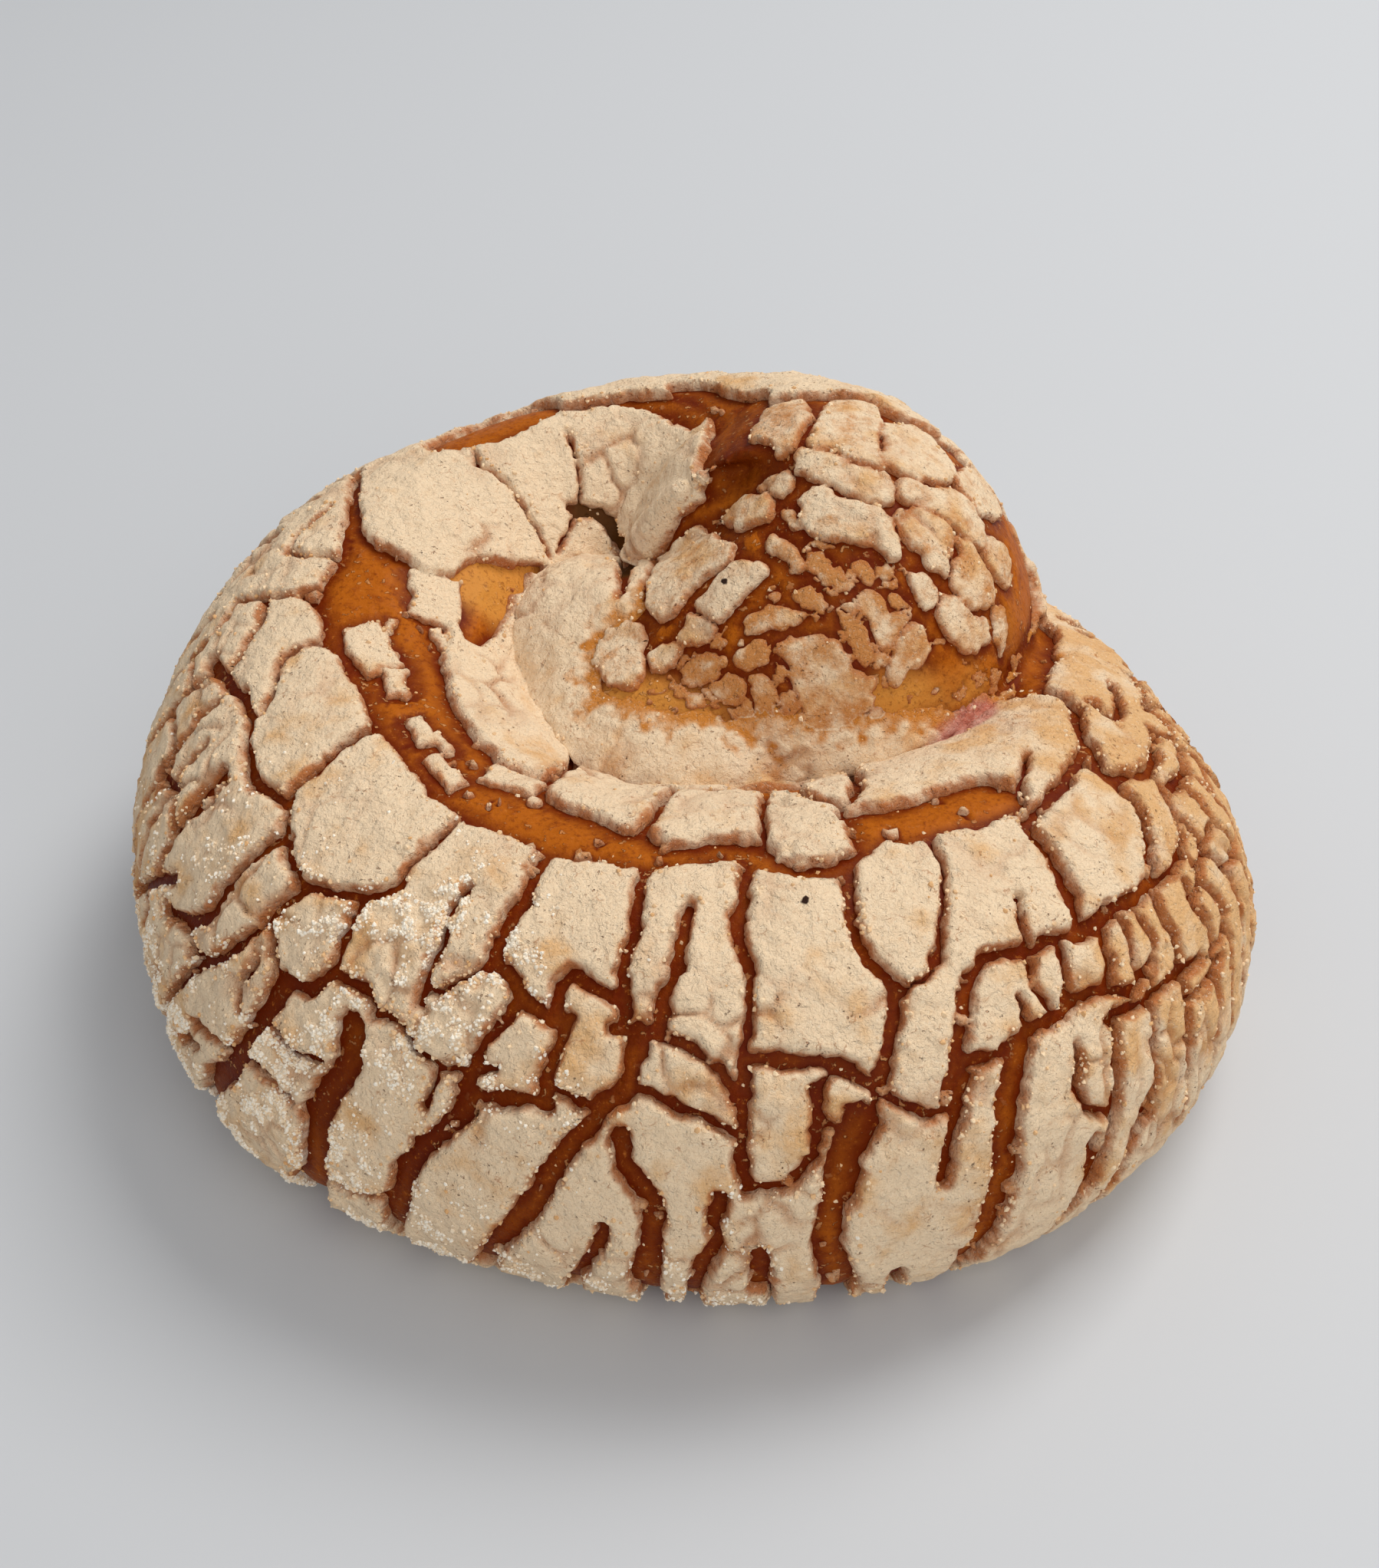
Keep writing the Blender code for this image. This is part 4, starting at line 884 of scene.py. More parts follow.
class Value:
    """A number, colour or direction in a material. Arithmetic on it adds the nodes that work it out."""

    def __init__(self, finish, socket):
        self.finish = finish
        self.socket = socket

    def math(self, operation, first, second):
        return self.finish.node("Math", {"operation": operation}, {0: first, 1: second})

    def __add__(self, other):
        return self.math("ADD", self, other)

    __radd__ = __add__

    def __mul__(self, other):
        return self.math("MULTIPLY", self, other)

    __rmul__ = __mul__

    def __sub__(self, other):
        return self.math("SUBTRACT", self, other)

    def __rsub__(self, other):
        return self.math("SUBTRACT", other, self)

    def between(self, low, high):
        """0 up to low, 1 from high on, and smooth in between."""
        settings = {"interpolation_type": "SMOOTHSTEP"}
        return self.finish.node("MapRange", settings, {0: self, 1: low, 2: high})


class Finish:
    """A material being made: its nodes, added one by one."""

    def __init__(self, name):
        self.material = bpy.data.materials.new(name)
        self.material.use_nodes = True
        self.shader = self.material.node_tree.nodes["Principled BSDF"]

    def node(self, kind, settings=None, inputs=None, output=0):
        node = self.material.node_tree.nodes.new("ShaderNode" + kind)
        for key, value in (settings or {}).items():
            setattr(node, key, value)
        self.feed(node, inputs or {})
        return Value(self, node.outputs[output])

    def feed(self, node, inputs):
        for key, value in inputs.items():
            if isinstance(value, Value):
                self.material.node_tree.links.new(value.socket, node.inputs[key])
            else:
                node.inputs[key].default_value = value

    def place(self):
        return self.node("TexCoord", output="Object")

    def speckle(self, size, detail=2.0, roughness=0.5):
        """Noise from 0 to 1 whose lumps are about this size in mm."""
        inputs = {"Vector": self.place(), "Scale": 1 / (size * MM)}
        inputs |= {"Detail": detail, "Roughness": roughness}
        return self.node("TexNoise", None, inputs)

    def mix(self, factor, first, second):
        settings = {"data_type": "RGBA", "clamp_factor": True}
        return self.node("Mix", settings, {0: factor, 6: first, 7: second}, output=2)

    def attribute(self, name):
        return self.node("Attribute", {"attribute_name": name}, output="Fac")

    def bump(self, height, distance, normal=None):
        inputs = {"Height": height, "Distance": distance * MM, "Strength": 1.0}
        if normal:
            inputs["Normal"] = normal
        return self.node("Bump", None, inputs)

    def shade(self, **inputs):
        self.feed(self.shader, {name.replace("_", " "): value for name, value in inputs.items()})
        return self.material


def placed(points):
    """Points in metres, over the CAD model's origin and inside its box."""
    low, high = np.array(cad_box[0]), np.array(cad_box[1])
    return np.clip((points - ROLL_CENTRE) * MM, low, high)


def mesh_of(name, points, triangles, attributes):
    """A mesh from points in mm, with a value for each point under each attribute's name."""
    mesh = bpy.data.meshes.new(name)
    mesh.from_pydata(placed(points).tolist(), [], triangles.tolist())
    for key, values in attributes.items():
        mesh.attributes.new(key, "FLOAT", "POINT").data.foreach_set("value", values)
    return mesh


def piece_of(name, mesh):
    """A finished mesh as a piece that rides on the roll."""
    piece = bpy.data.objects.new(name, mesh)
    bpy.context.scene.collection.objects.link(piece)
    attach(piece, "root")
    return piece


def smooth_piece(name, points, triangles, material, attributes):
    """A piece shaded smooth, from points in mm."""
    mesh = mesh_of(name, points, triangles, attributes)
    mesh.shade_smooth()
    mesh.materials.append(material)
    return piece_of(name, mesh)


def baked_dough():
    finish = Finish("baked_dough")
    gap = finish.attribute("gap")
    warm = finish.attribute("warm")
    dark = finish.attribute("dark")
    mottle = finish.speckle(4.5, detail=3)
    streaks = finish.speckle(1.6, detail=3, roughness=0.6)
    fine = finish.speckle(0.6, detail=3, roughness=0.7)
    # Darker towards a plate's edge: partly the dough's own deeper brown, partly painted shade from the
    # plates.
    depth = (gap + (mottle - 0.5) * 2.2).between(-0.1, 2.6)
    colour = finish.mix(depth, CRACK_BROWN_AND_SHADE, BAKED_BROWN)
    colour = finish.mix((streaks - 0.5).between(0.0, 0.2) * 0.5, colour, STREAK_BROWN)
    # Where the dough baked darkest, and painted shade down the front left flank.
    colour = finish.mix((dark + (mottle - 0.5) * 0.9).between(0.2, 1.0) * 0.85, colour, DARKEST_BROWN_AND_SHADE)
    colour = finish.mix((warm + (mottle - 0.5) * 0.7).between(0.2, 1.1), colour, AMBER)
    colour = finish.mix((fine - 0.5).between(0.0, 0.22) * 0.55, colour, FINE_BROWN)
    colour = finish.mix((0.5 - fine).between(0.08, 0.25) * 0.5, colour, FINE_GOLD)
    flecks = finish.speckle(0.8, detail=2).between(0.62, 0.68) * finish.speckle(6).between(0.4, 0.6)
    colour = finish.mix(flecks * 0.6, colour, MELTED_SUGAR)
    # Painted shade deep in the fold beside the pleat.
    colour = finish.mix(finish.attribute("fold").between(0.3, 0.9), colour, PAINTED_FOLD_SHADE)
    bumps = finish.bump(fine + flecks, 0.16, finish.bump(streaks, 0.25))
    rough = 0.36 + finish.speckle(1.5, detail=3) * 0.3
    return finish.shade(
        Base_Color=colour,
        Roughness=rough,
        Normal=bumps,
        Specular_IOR_Level=0.05,
        Coat_Weight=0.02,
        Coat_Roughness=0.2,
    )


def nearness(points, spots, place=seen_from_above):
    """How near each point is to some spots, each with its two measures of place, its radius and amount."""
    total = np.zeros(len(points))
    for *where, radius, amount in spots:
        distance = np.linalg.norm(points - place(*where), axis=1)
        total += amount * np.exp(-(distance / radius) ** 2)
    return total


gap_width = np.maximum(-dough_crust[:, 0], 0)
bulge = SWELL * np.clip(gap_width / SWOLLEN_GAP, 0, 1) * (dough_points[:, 2] > FLAT_FOOT)
bumps = sum(height * grain(dough_points, size) for size, height in DOUGH_LUMPS)
bumps *= np.clip(dough_points[:, 2], 0, 1)
dough = smooth_piece(
    "dough",
    dough_points + dough_normals * (bulge + bumps)[:, None],
    dough_triangles,
    baked_dough(),
    {
        "gap": gap_width,
        "warm": nearness(dough_points, AMBER_DOUGH),
        "dark": nearness(dough_points, DARK_BAKE_AND_SHADE),
        "fold": nearness(dough_points, FOLD_SHADE_SPOTS),
    },
)
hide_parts("sweet_roll")


# ---- The crust ----
# Plates of baked sugar paste, dry and sandy, about 1.5 mm thick, with crumbly rounded edges: pale cream,
# golden in patches and brown along their edges, stuck to the dough below. Round the knob the paste is a
# thin film that amber dough shows through.

# The paste where it stayed pale, where it turned golden, and where it is tan and thin; its crazes, its
# browned edges, the film over amber dough, the pink sugar and the sugar's bloom; its sand, dark and
# light; its fine fissures, its pores and its burnt specks.
CREAM, GOLD, TAN = rgb(246, 217, 180), rgb(232, 182, 126), rgb(204, 136, 76)
CRAZE_BROWN, EDGE_BROWN, FILM_AMBER = rgb(176, 102, 46), rgb(186, 108, 56), rgb(204, 128, 52)
PINK_SUGAR, SUGAR_BLOOM = rgb(200, 116, 112), rgb(246, 230, 208)
SAND_BROWN, SAND_WHITE = rgb(188, 124, 68), rgb(250, 236, 212)
FISSURE_BROWN, PORE_BROWN, BURNT_BROWN = rgb(170, 100, 50), rgb(164, 86, 34), rgb(52, 30, 18)
THICKEST, THINNEST = 1.78, 0.25  # a plate at any point, in mm
EDGE_ROUNDING = 0.6  # width over which a plate's edge curves over, in mm
BROWNED_EDGE = 0.9  # width over which a plate's edge browned, in mm
LIP = 0.5  # the part of its thickness that a plate's edge stands upright
ROOT = 0.5  # how far a plate reaches into the dough, in mm
TOP_FOOT, MIDDLE_FOOT, BOTTOM_FOOT = 0.4, 0.3, 0.2  # the lowest that each level of a plate comes, in mm
CRUST_LUMPS = ((6, 0.3), (2.6, 0.25), (1.2, 0.17))  # size and height of its unevenness, in mm
# Fine cracks that craze the plates: the size of what they mark off, their half width and depth, in mm.
CRAZE_SIZE, CRAZE_WIDTH, CRAZE_DEPTH = 5.0, 0.45, 0.6
# Hair cracks in the paste's colour: the size of what they mark off, half their width as a share of it,
# and the size and reach of their wanderings, in mm.
FISSURE_SIZE, FISSURE_WIDTH, FISSURE_WANDER, FISSURE_REACH = 1.9, 0.05, 1.1, 1.2
APRON_LUMPS = ((1.5, 0.5), (0.8, 0.3))  # size and height of the crumbs baked into the film round the knob
SMALLEST = 10  # points; a scrap with fewer is left out
CRUST_PIECES = 6  # the crust is cut into this many pieces, side by side round the roll
# Where the crust browned more or less than elsewhere: turn, across, radius in mm, and how much.
TOASTING = (
    (77, 53, 4, 0.5), (82, 56, 4, 0.4), (92, 47, 4, 0.4), (100, 43, 4, 0.4), (60, 44, 4, 0.3),
    (20, 30, 14, 0.35), (5, 60, 20, 0.35), (30, 62, 18, 0.55), (45, 60, 10, 0.35), (-20, 50, 25, 0.3),
    (80, -22, 7, -0.1), (210, -15, 16, -0.25), (240, -20, 16, -0.2), (90, 15, 12, -0.15),
    (55, 18, 12, -0.15), (170, 60, 22, 0.12),
)
# Where coarse sugar was strewn.
SUGARED = (
    (113, 20, 5, 0.7), (112, 33, 7, 1.0), (119, 40, 7, 1.0), (126, 48, 8, 0.6), (132, 75, 10, 0.6),
    (138, 100, 12, 0.9), (118, 95, 10, 0.4), (126, 110, 10, 0.8), (148, 100, 12, 0.8),
    (108, 108, 9, 0.3), (104, 60, 5, 0.3), (145, 50, 8, 0.25), (160, 100, 12, 0.5), (140, 30, 8, 0.15),
    (92, 112, 8, 0.3), (86, 75, 6, 0.15),
)
# A smear of pink sugar in the crease under the knob, in the same measures.
PINK = (
    (23, -30, 2.5, 0.8), (17, -27, 2.5, 0.9), (12, -24, 2.5, 0.8), (28, -33, 2.5, 0.6), (18, -21, 4, 0.25),
)
# Two burnt specks.
BURNT = ((78.5, 13, 0.36, 1), (78.1, 12.2, 0.3, 0.8), (414.5, 16, 0.36, 1), (415.3, 15, 0.3, 0.8))


def clipped(fields, depth, triangles):
    """The part of a skin where depth is over zero, with new points where its edge crosses a triangle."""
    inside = depth > 0
    count = inside[triangles].sum(axis=1)
    whole = triangles[count == 3]
    mixed = triangles[(count == 1) | (count == 2)]
    lone_inside = inside[mixed].sum(axis=1) == 1
    lone = np.argmax(inside[mixed] == lone_inside[:, None], axis=1)
    rows = np.arange(len(mixed))
    a, b, c = (mixed[rows, (lone + k) % 3] for k in range(3))
    crossings = np.sort(np.concatenate([np.stack([a, b], 1), np.stack([a, c], 1)]), axis=1)
    unique, which = np.unique(crossings, axis=0, return_inverse=True)
    share = depth[unique[:, 0]] / (depth[unique[:, 0]] - depth[unique[:, 1]])
    share = np.clip(share, 0.1, 0.9)[:, None]
    new_fields = fields[unique[:, 0]] * (1 - share) + fields[unique[:, 1]] * share
    which = which.ravel() + len(fields)
    ab, ac = which[: len(mixed)], which[len(mixed) :]
    ones = np.stack([a, ab, ac], 1)[lone_inside]
    twos = np.concatenate([np.stack([ab, b, c], 1)[~lone_inside], np.stack([ab, c, ac], 1)[~lone_inside]])
    kept = np.concatenate([whole, ones, twos])
    used, index = np.unique(kept, return_inverse=True)
    fields = np.concatenate([fields, new_fields])[used]
    depth = np.concatenate([np.maximum(depth, 0), np.zeros(len(unique))])[used]
    return fields, depth, index.reshape(-1, 3)


def plates_of(count, triangles):
    """The number of the plate that each point belongs to."""
    edges = np.concatenate([triangles[:, :2], triangles[:, 1:]])
    label = np.arange(count)
    while True:
        lowest = np.minimum(label[edges[:, 0]], label[edges[:, 1]])
        new = label.copy()
        np.minimum.at(new, edges[:, 0], lowest)
        np.minimum.at(new, edges[:, 1], lowest)
        new = new[new]
        if (new == label).all():
            return np.unique(label, return_inverse=True)[1].ravel()
        label = new


def rim_of(triangles):
    """The edges on the outline of the plates, each in the direction its triangle takes it."""
    edges = np.concatenate([triangles[:, [0, 1]], triangles[:, [1, 2]], triangles[:, [2, 0]]])
    there = edges[:, 0].astype(np.int64) << 32 | edges[:, 1]
    back = edges[:, 1].astype(np.int64) << 32 | edges[:, 0]
    return edges[~np.isin(there, back)]


def on_rope(turn, across):
    """The point of the skin at a turn and an angle across the rope."""
    return np.array(skin.find_nearest(Vector(rope_points(turn, across)))[0])


fields = np.column_stack([skin_points, skin_normals, skin_crust[:, 1:]])
fields, depth, triangles = clipped(fields, skin_crust[:, 0], skin_triangles)
plate = plates_of(len(fields), triangles)
large = np.bincount(plate)[plate] >= SMALLEST
triangles = triangles[large[triangles[:, 0]]]
used, index = np.unique(triangles, return_inverse=True)
fields, depth = fields[used], depth[used]
points, normals = fields[:, :3], fields[:, 3:6]
thickness, browning, amber = fields[:, 6:].T
normals = normals / np.linalg.norm(normals, axis=1)[:, None]
triangles = index.reshape(-1, 3)
count = len(points)

# How thick, how toasted and how sugared each point is.
thickness = thickness * (1 + 0.15 * grain(points, 9))
toast = 0.3 + 0.2 * grain(points, 11) + nearness(points, TOASTING, on_rope)
toast = toast + 0.25 * np.minimum(browning, 0.6)
browning = browning * np.clip(0.85 + 0.8 * grain(points, 2.5), 0.4, 1.1)
pink = nearness(points, PINK, on_rope)
burnt = nearness(points, BURNT, on_rope)
frost = np.clip(nearness(points, SUGARED, on_rope), 0, 1)
clumps = np.clip(0.15 + 1.9 * grain(points, 4), 0, 1) * np.clip(0.3 + 2.6 * grain(points, 1.3), 0, 1)
sugar_share = frost * clumps
film_lumps = sum(height * grain(points, size) for size, height in APRON_LUMPS)
film_lumps *= np.minimum(amber, 1 - amber) * 2
thickness *= 1 - 0.85 * amber
amber = amber - 1.6 * film_lumps

# The crazes are the borders of wandering cells, here and there, and fainter on top.
wandering = points + 0.8 * np.column_stack([grain(points + shift, 2.2) for shift in (0, 31, 57)])
cells = np.array([noise.voronoi(p)[0][:2] for p in (wandering / CRAZE_SIZE).tolist()])
crazed = 1 - (cells[:, 1] - cells[:, 0]) * CRAZE_SIZE / 2 / CRAZE_WIDTH
crazed = np.clip(crazed, 0, 1) * np.clip(0.1 + 2.2 * grain(points, 9), 0, 1)
crazed *= np.where(normals[:, 2] > 0.85, 0.4, 1.0) * (thickness > 0.7)

# The height over the dough: rounded at the edge and lumpy further in.
rise = np.clip(depth / np.minimum(EDGE_ROUNDING, 1.4 * thickness), 0, 1)
profile = LIP + (1 - LIP) * np.sqrt(1 - (1 - rise) ** 2)
lumps_height = sum(height * grain(points, size) for size, height in CRUST_LUMPS)
lumps_height += frost * (0.35 * grain(points, 1.6) + 0.3 * grain(points, 0.9)) + 0.25 * sugar_share
height = thickness * (profile + lumps_height / THICKNESS * (0.4 + 0.6 * rise))
height = np.clip(height + np.maximum(film_lumps, 0) - CRAZE_DEPTH * crazed, THINNEST, THICKEST)

# The edge is crumbly: low on its side it stands out from the plate, here more and there less.
rim = rim_of(triangles)
rim_points = np.unique(rim)
outwards = np.zeros_like(points)
sideways = np.cross(points[rim[:, 1]] - points[rim[:, 0]], normals[rim[:, 0]])
np.add.at(outwards, rim[:, 0], sideways)
np.add.at(outwards, rim[:, 1], sideways)
outwards /= np.maximum(np.linalg.norm(outwards, axis=1), 1e-9)[:, None]
crumble = 0.14 + 0.2 * grain(points[rim_points], 0.9)

top = points + normals * height[:, None]
bottom = points - normals * ROOT
middle = points + normals * (0.3 * height)[:, None]
middle[rim_points] += outwards[rim_points] * crumble[:, None]
top[:, 2] = np.maximum(top[:, 2], TOP_FOOT)
middle[:, 2] = np.maximum(middle[:, 2], MIDDLE_FOOT)
bottom[:, 2] = np.maximum(bottom[:, 2], BOTTOM_FOOT)
shell_points = np.concatenate([top, bottom, middle])
# What the material reads at each point of the top, the underside and the middle of the walls.
finishes = {
    "edge": np.concatenate([1 - np.clip(depth / BROWNED_EDGE, 0, 1), np.ones(2 * count)]),
    "toast": np.tile(toast, 3),
    "amber": np.tile(amber, 3),
    "brown": np.tile(browning, 3),
    "frost": np.tile(sugar_share, 3),
    "pink": np.tile(pink, 3),
    "burnt": np.tile(burnt, 3),
    "crazed": np.tile(crazed, 3),
}


def shell(triangles):
    """The top, underside and walls over some of the crust's triangles, closed all round."""
    i, j = rim_of(triangles).T
    i_below, j_below = i + count, j + count
    i_middle, j_middle = i + 2 * count, j + 2 * count
    walls = (
        (j, i, i_middle),
        (j, i_middle, j_middle),
        (j_middle, i_middle, i_below),
        (j_middle, i_below, j_below),
    )
    return np.concatenate([triangles, triangles[:, ::-1] + count, *(np.stack(wall, 1) for wall in walls)])


def normals_of(points, triangles):
    """A smooth normal for each point, from the triangles round it."""
    a, b, c = (points[triangles[:, k]] for k in range(3))
    across = np.cross(b - a, c - a)
    total = np.zeros_like(points)
    for axis in range(3):
        total[:, axis] = sum(np.bincount(corner, across[:, axis], len(points)) for corner in triangles.T)
    return total / np.maximum(np.linalg.norm(total, axis=1), 1e-12)[:, None]


def fissures(finish):
    """1 along the paste's hair cracks, which run here and there, and 0 between them."""
    inputs = {"Vector": finish.place(), "Scale": 1 / (FISSURE_WANDER * MM), "Detail": 3.0}
    wander = finish.node("TexNoise", None, inputs, output=1)
    wander = finish.node("VectorMath", {"operation": "SCALE"}, {0: wander, "Scale": FISSURE_REACH * MM})
    at = finish.node("VectorMath", {"operation": "ADD"}, {0: finish.place(), 1: wander})
    inputs = {"Vector": at, "Scale": 1 / (FISSURE_SIZE * MM)}
    nets = finish.node("TexVoronoi", {"feature": "DISTANCE_TO_EDGE"}, inputs)
    here_and_there = (finish.speckle(1.6, detail=2) - 0.5).between(0.08, 0.18)
    return (FISSURE_WIDTH - nets).between(0.0, FISSURE_WIDTH) * here_and_there


def sugar_crust():
    finish = Finish("sugar_crust")
    edge = finish.attribute("edge")
    toast = finish.attribute("toast")
    brown = finish.attribute("brown")
    amber = finish.attribute("amber")
    pink = finish.attribute("pink")
    frost = finish.attribute("frost")
    patches = finish.speckle(5, detail=3)
    blotches = finish.speckle(2, detail=3)
    creases = finish.speckle(1.3, detail=4, roughness=0.65)
    sand = finish.speckle(0.4, detail=3, roughness=0.8)
    crumbs = finish.speckle(1.0, detail=2)
    golden = (toast + (patches - 0.5) * 2.4).between(0.3, 0.95)
    colour = finish.mix(golden, CREAM, GOLD)
    tan = (brown * 1.4 + (creases - 0.5) * 1.8 + (blotches - 0.5) * 1.2).between(0.1, 1.2)
    colour = finish.mix(tan, colour, TAN)
    crazed = finish.attribute("crazed")
    colour = finish.mix(crazed * 0.75, colour, CRAZE_BROWN)
    browned = edge * (1.0 + (blotches - 0.5) * 1.8) + (patches - 0.5) * 1.2 + toast * 0.2
    browned = browned.between(0.45, 1.25)
    colour = finish.mix(browned * (0.9 - brown * 0.3), colour, EDGE_BROWN)
    amber_mix = (amber + (blotches - 0.5) * 1.1).between(0.3, 1.0)
    colour = finish.mix(amber_mix, colour, FILM_AMBER)
    colour = finish.mix((pink + (blotches - 0.5) * 0.6).between(0.3, 0.9) * 0.7, colour, PINK_SUGAR)
    colour = finish.mix((frost + (sand - 0.5) * 0.6).between(0.05, 0.7) * 0.8, colour, SUGAR_BLOOM)
    colour = finish.mix((sand - 0.5).between(0.03, 0.28) * 0.35, colour, SAND_BROWN)
    colour = finish.mix((0.5 - sand).between(0.03, 0.28) * 0.5, colour, SAND_WHITE)
    colour = finish.mix(fissures(finish) * (0.55 - brown), colour, FISSURE_BROWN)
    pores = finish.speckle(0.5, detail=1).between(0.68, 0.76) * finish.speckle(3.2).between(0.5, 0.62)
    colour = finish.mix(pores * 0.5, colour, PORE_BROWN)
    colour = finish.mix(finish.attribute("burnt").between(0.3, 0.6), colour, BURNT_BROWN)
    wrinkles = finish.bump(0 - creases, 0.45)
    bumps = finish.bump(sand, 0.3, finish.bump(crumbs - pores, 0.4, wrinkles))
    return finish.shade(Base_Color=colour, Roughness=0.88, Normal=bumps, Specular_IOR_Level=0.25)


crust_material = sugar_crust()
shell_normals = normals_of(shell_points, shell(triangles))
centre = points[triangles].mean(axis=1)
order = np.argsort(np.arctan2(-centre[:, 1], centre[:, 0]), kind="stable")
for number, part in enumerate(np.array_split(order, CRUST_PIECES)):
    faces = shell(triangles[part])
    used, index = np.unique(faces, return_inverse=True)
    values = {name: value[used] for name, value in finishes.items()}
    name, faces = f"crust_{number + 1}", index.reshape(-1, 3)
    crust = smooth_piece(name, shell_points[used], faces, crust_material, values)
    # The same normals on both sides of each cut, so that no cut shows.
    crust.data.normals_split_custom_set_from_vertices(shell_normals[used].tolist())
    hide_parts("sweet_roll")


# ---- Crumbs and sugar ----
# Crumbs that broke off the plates' edges, and coarse sugar that was strewn on before baking. Both are
# baked fast to the roll. Sugar lies thickest on the plates at the front left.

CRUMB_PALE, CRUMB_GOLD = rgb(242, 214, 176), rgb(220, 172, 120)
CRYSTAL_WHITE, CRYSTAL_CREAM = rgb(250, 240, 222), rgb(236, 210, 174)
# The lumps' smallest and largest radius in mm, and how rare the large ones are: the higher, the rarer.
CRUMBS_ON_CRUST, CRUMBS_ON_DOUGH, CRYSTALS = (0.08, 0.32, 1.6), (0.06, 0.32, 2.5), (0.1, 0.28, 1.6)
# How many lie on a square millimetre where they are strewn in full.
CRUST_CRUMBS, DOUGH_CRUMBS, SUGAR_CRYSTALS = 2.2, 0.25, 37.0
CRUMBLY_EDGE = 1.5  # crumbs lie this far in from a plate's edge, in mm


def live_socket(sockets, name):
    """The socket of this name that the node's settings leave in use."""
    return next(s for s in sockets if s.enabled and name in (s.identifier, s.name))


def scattering():
    """Nodes that strew little lumps over a surface, as thick as its scatter attribute says."""
    tree = bpy.data.node_groups.new("scattering", "GeometryNodeTree")
    sockets = {
        "Surface": "Geometry", "Per square metre": "Float", "Smallest": "Float", "Largest": "Float",
        "Rarity of large ones": "Float", "Seed": "Int", "Material": "Material",
    }
    for name, kind in sockets.items():
        tree.interface.new_socket(name, in_out="INPUT", socket_type="NodeSocket" + kind)
    tree.interface.new_socket("Lumps", in_out="OUTPUT", socket_type="NodeSocketGeometry")

    def add(kind, settings=None, **inputs):
        node = tree.nodes.new(kind)
        for key, value in (settings or {}).items():
            setattr(node, key, value)
        for key, value in inputs.items():
            socket = live_socket(node.inputs, key)
            if isinstance(value, bpy.types.NodeSocket):
                tree.links.new(value, socket)
            else:
                socket.default_value = value
        return node

    given = add("NodeGroupInput").outputs
    share = add("GeometryNodeInputNamedAttribute", {"data_type": "FLOAT"}, Name="scatter")
    density = add("ShaderNodeMath", {"operation": "MULTIPLY"}, Value=share.outputs["Attribute"])
    tree.links.new(given["Per square metre"], density.inputs[1])
    points = add(
        "GeometryNodeDistributePointsOnFaces",
        Mesh=given["Surface"],
        Density=density.outputs[0],
        Seed=given["Seed"],
    )
    lump = add("GeometryNodeMeshIcoSphere", Radius=1.0, Subdivisions=1)
    dents = {"Min": (-0.3,) * 3, "Max": (0.3,) * 3, "Seed": 3}
    jitter = add("FunctionNodeRandomValue", {"data_type": "FLOAT_VECTOR"}, **dents)
    rough = add("GeometryNodeSetPosition", Geometry=lump.outputs["Mesh"], Offset=jitter.outputs["Value"])
    chance = add("FunctionNodeRandomValue", {"data_type": "FLOAT"}, Seed=1)
    rare = add("ShaderNodeMath", {"operation": "POWER"})
    tree.links.new(live_socket(chance.outputs, "Value"), rare.inputs[0])
    tree.links.new(given["Rarity of large ones"], rare.inputs[1])
    size = add("ShaderNodeMapRange")
    for source, target in ((rare.outputs[0], 0), (given["Smallest"], 3), (given["Largest"], 4)):
        tree.links.new(source, size.inputs[target])
    spin = add("FunctionNodeRandomValue", {"data_type": "FLOAT_VECTOR"}, Max=(math.tau,) * 3, Seed=2)
    strewn = add(
        "GeometryNodeInstanceOnPoints",
        Points=points.outputs["Points"],
        Instance=rough.outputs["Geometry"],
        Rotation=spin.outputs["Value"],
        Scale=size.outputs["Result"],
    )
    tint = add("FunctionNodeRandomValue", {"data_type": "FLOAT"}, Seed=4)
    tinted = add(
        "GeometryNodeStoreNamedAttribute",
        {"data_type": "FLOAT", "domain": "INSTANCE"},
        Geometry=strewn.outputs["Instances"],
        Name="tint",
    )
    tree.links.new(live_socket(tint.outputs, "Value"), live_socket(tinted.inputs, "Value"))
    real = add("GeometryNodeRealizeInstances", Geometry=tinted.outputs["Geometry"]).outputs["Geometry"]
    finished = add("GeometryNodeSetMaterial", Geometry=real, Material=given["Material"])
    add("NodeGroupOutput", Lumps=finished.outputs["Geometry"])
    return tree


def strew(name, points, triangles, amount, per_square_mm, sizes, material, seed):
    """Lumps of some sizes over a surface, as a finished piece. Amount is their share at each point."""
    bed = bpy.data.objects.new(name + "_bed", mesh_of(name + "_bed", points, triangles, {"scatter": amount}))
    bpy.context.scene.collection.objects.link(bed)
    strewing = bed.modifiers.new("Strewing", "NODES")
    strewing.node_group = scatter_tree
    smallest, largest, rarity = sizes
    given = {
        "Per square metre": per_square_mm / MM**2,
        "Smallest": smallest * MM,
        "Largest": largest * MM,
        "Rarity of large ones": rarity,
        "Seed": seed,
        "Material": material,
    }
    for item in scatter_tree.interface.items_tree:
        if item.name in given:
            strewing[item.identifier] = given[item.name]
    mesh = evaluated_mesh(bed)
    bpy.data.objects.remove(bed)
    places = np.empty(3 * len(mesh.vertices))
    mesh.vertices.foreach_get("co", places)
    low, high = np.array(cad_box[0]), np.array(cad_box[1])
    mesh.vertices.foreach_set("co", np.clip(places.reshape(-1, 3), low, high).ravel())
    piece_of(name, mesh)


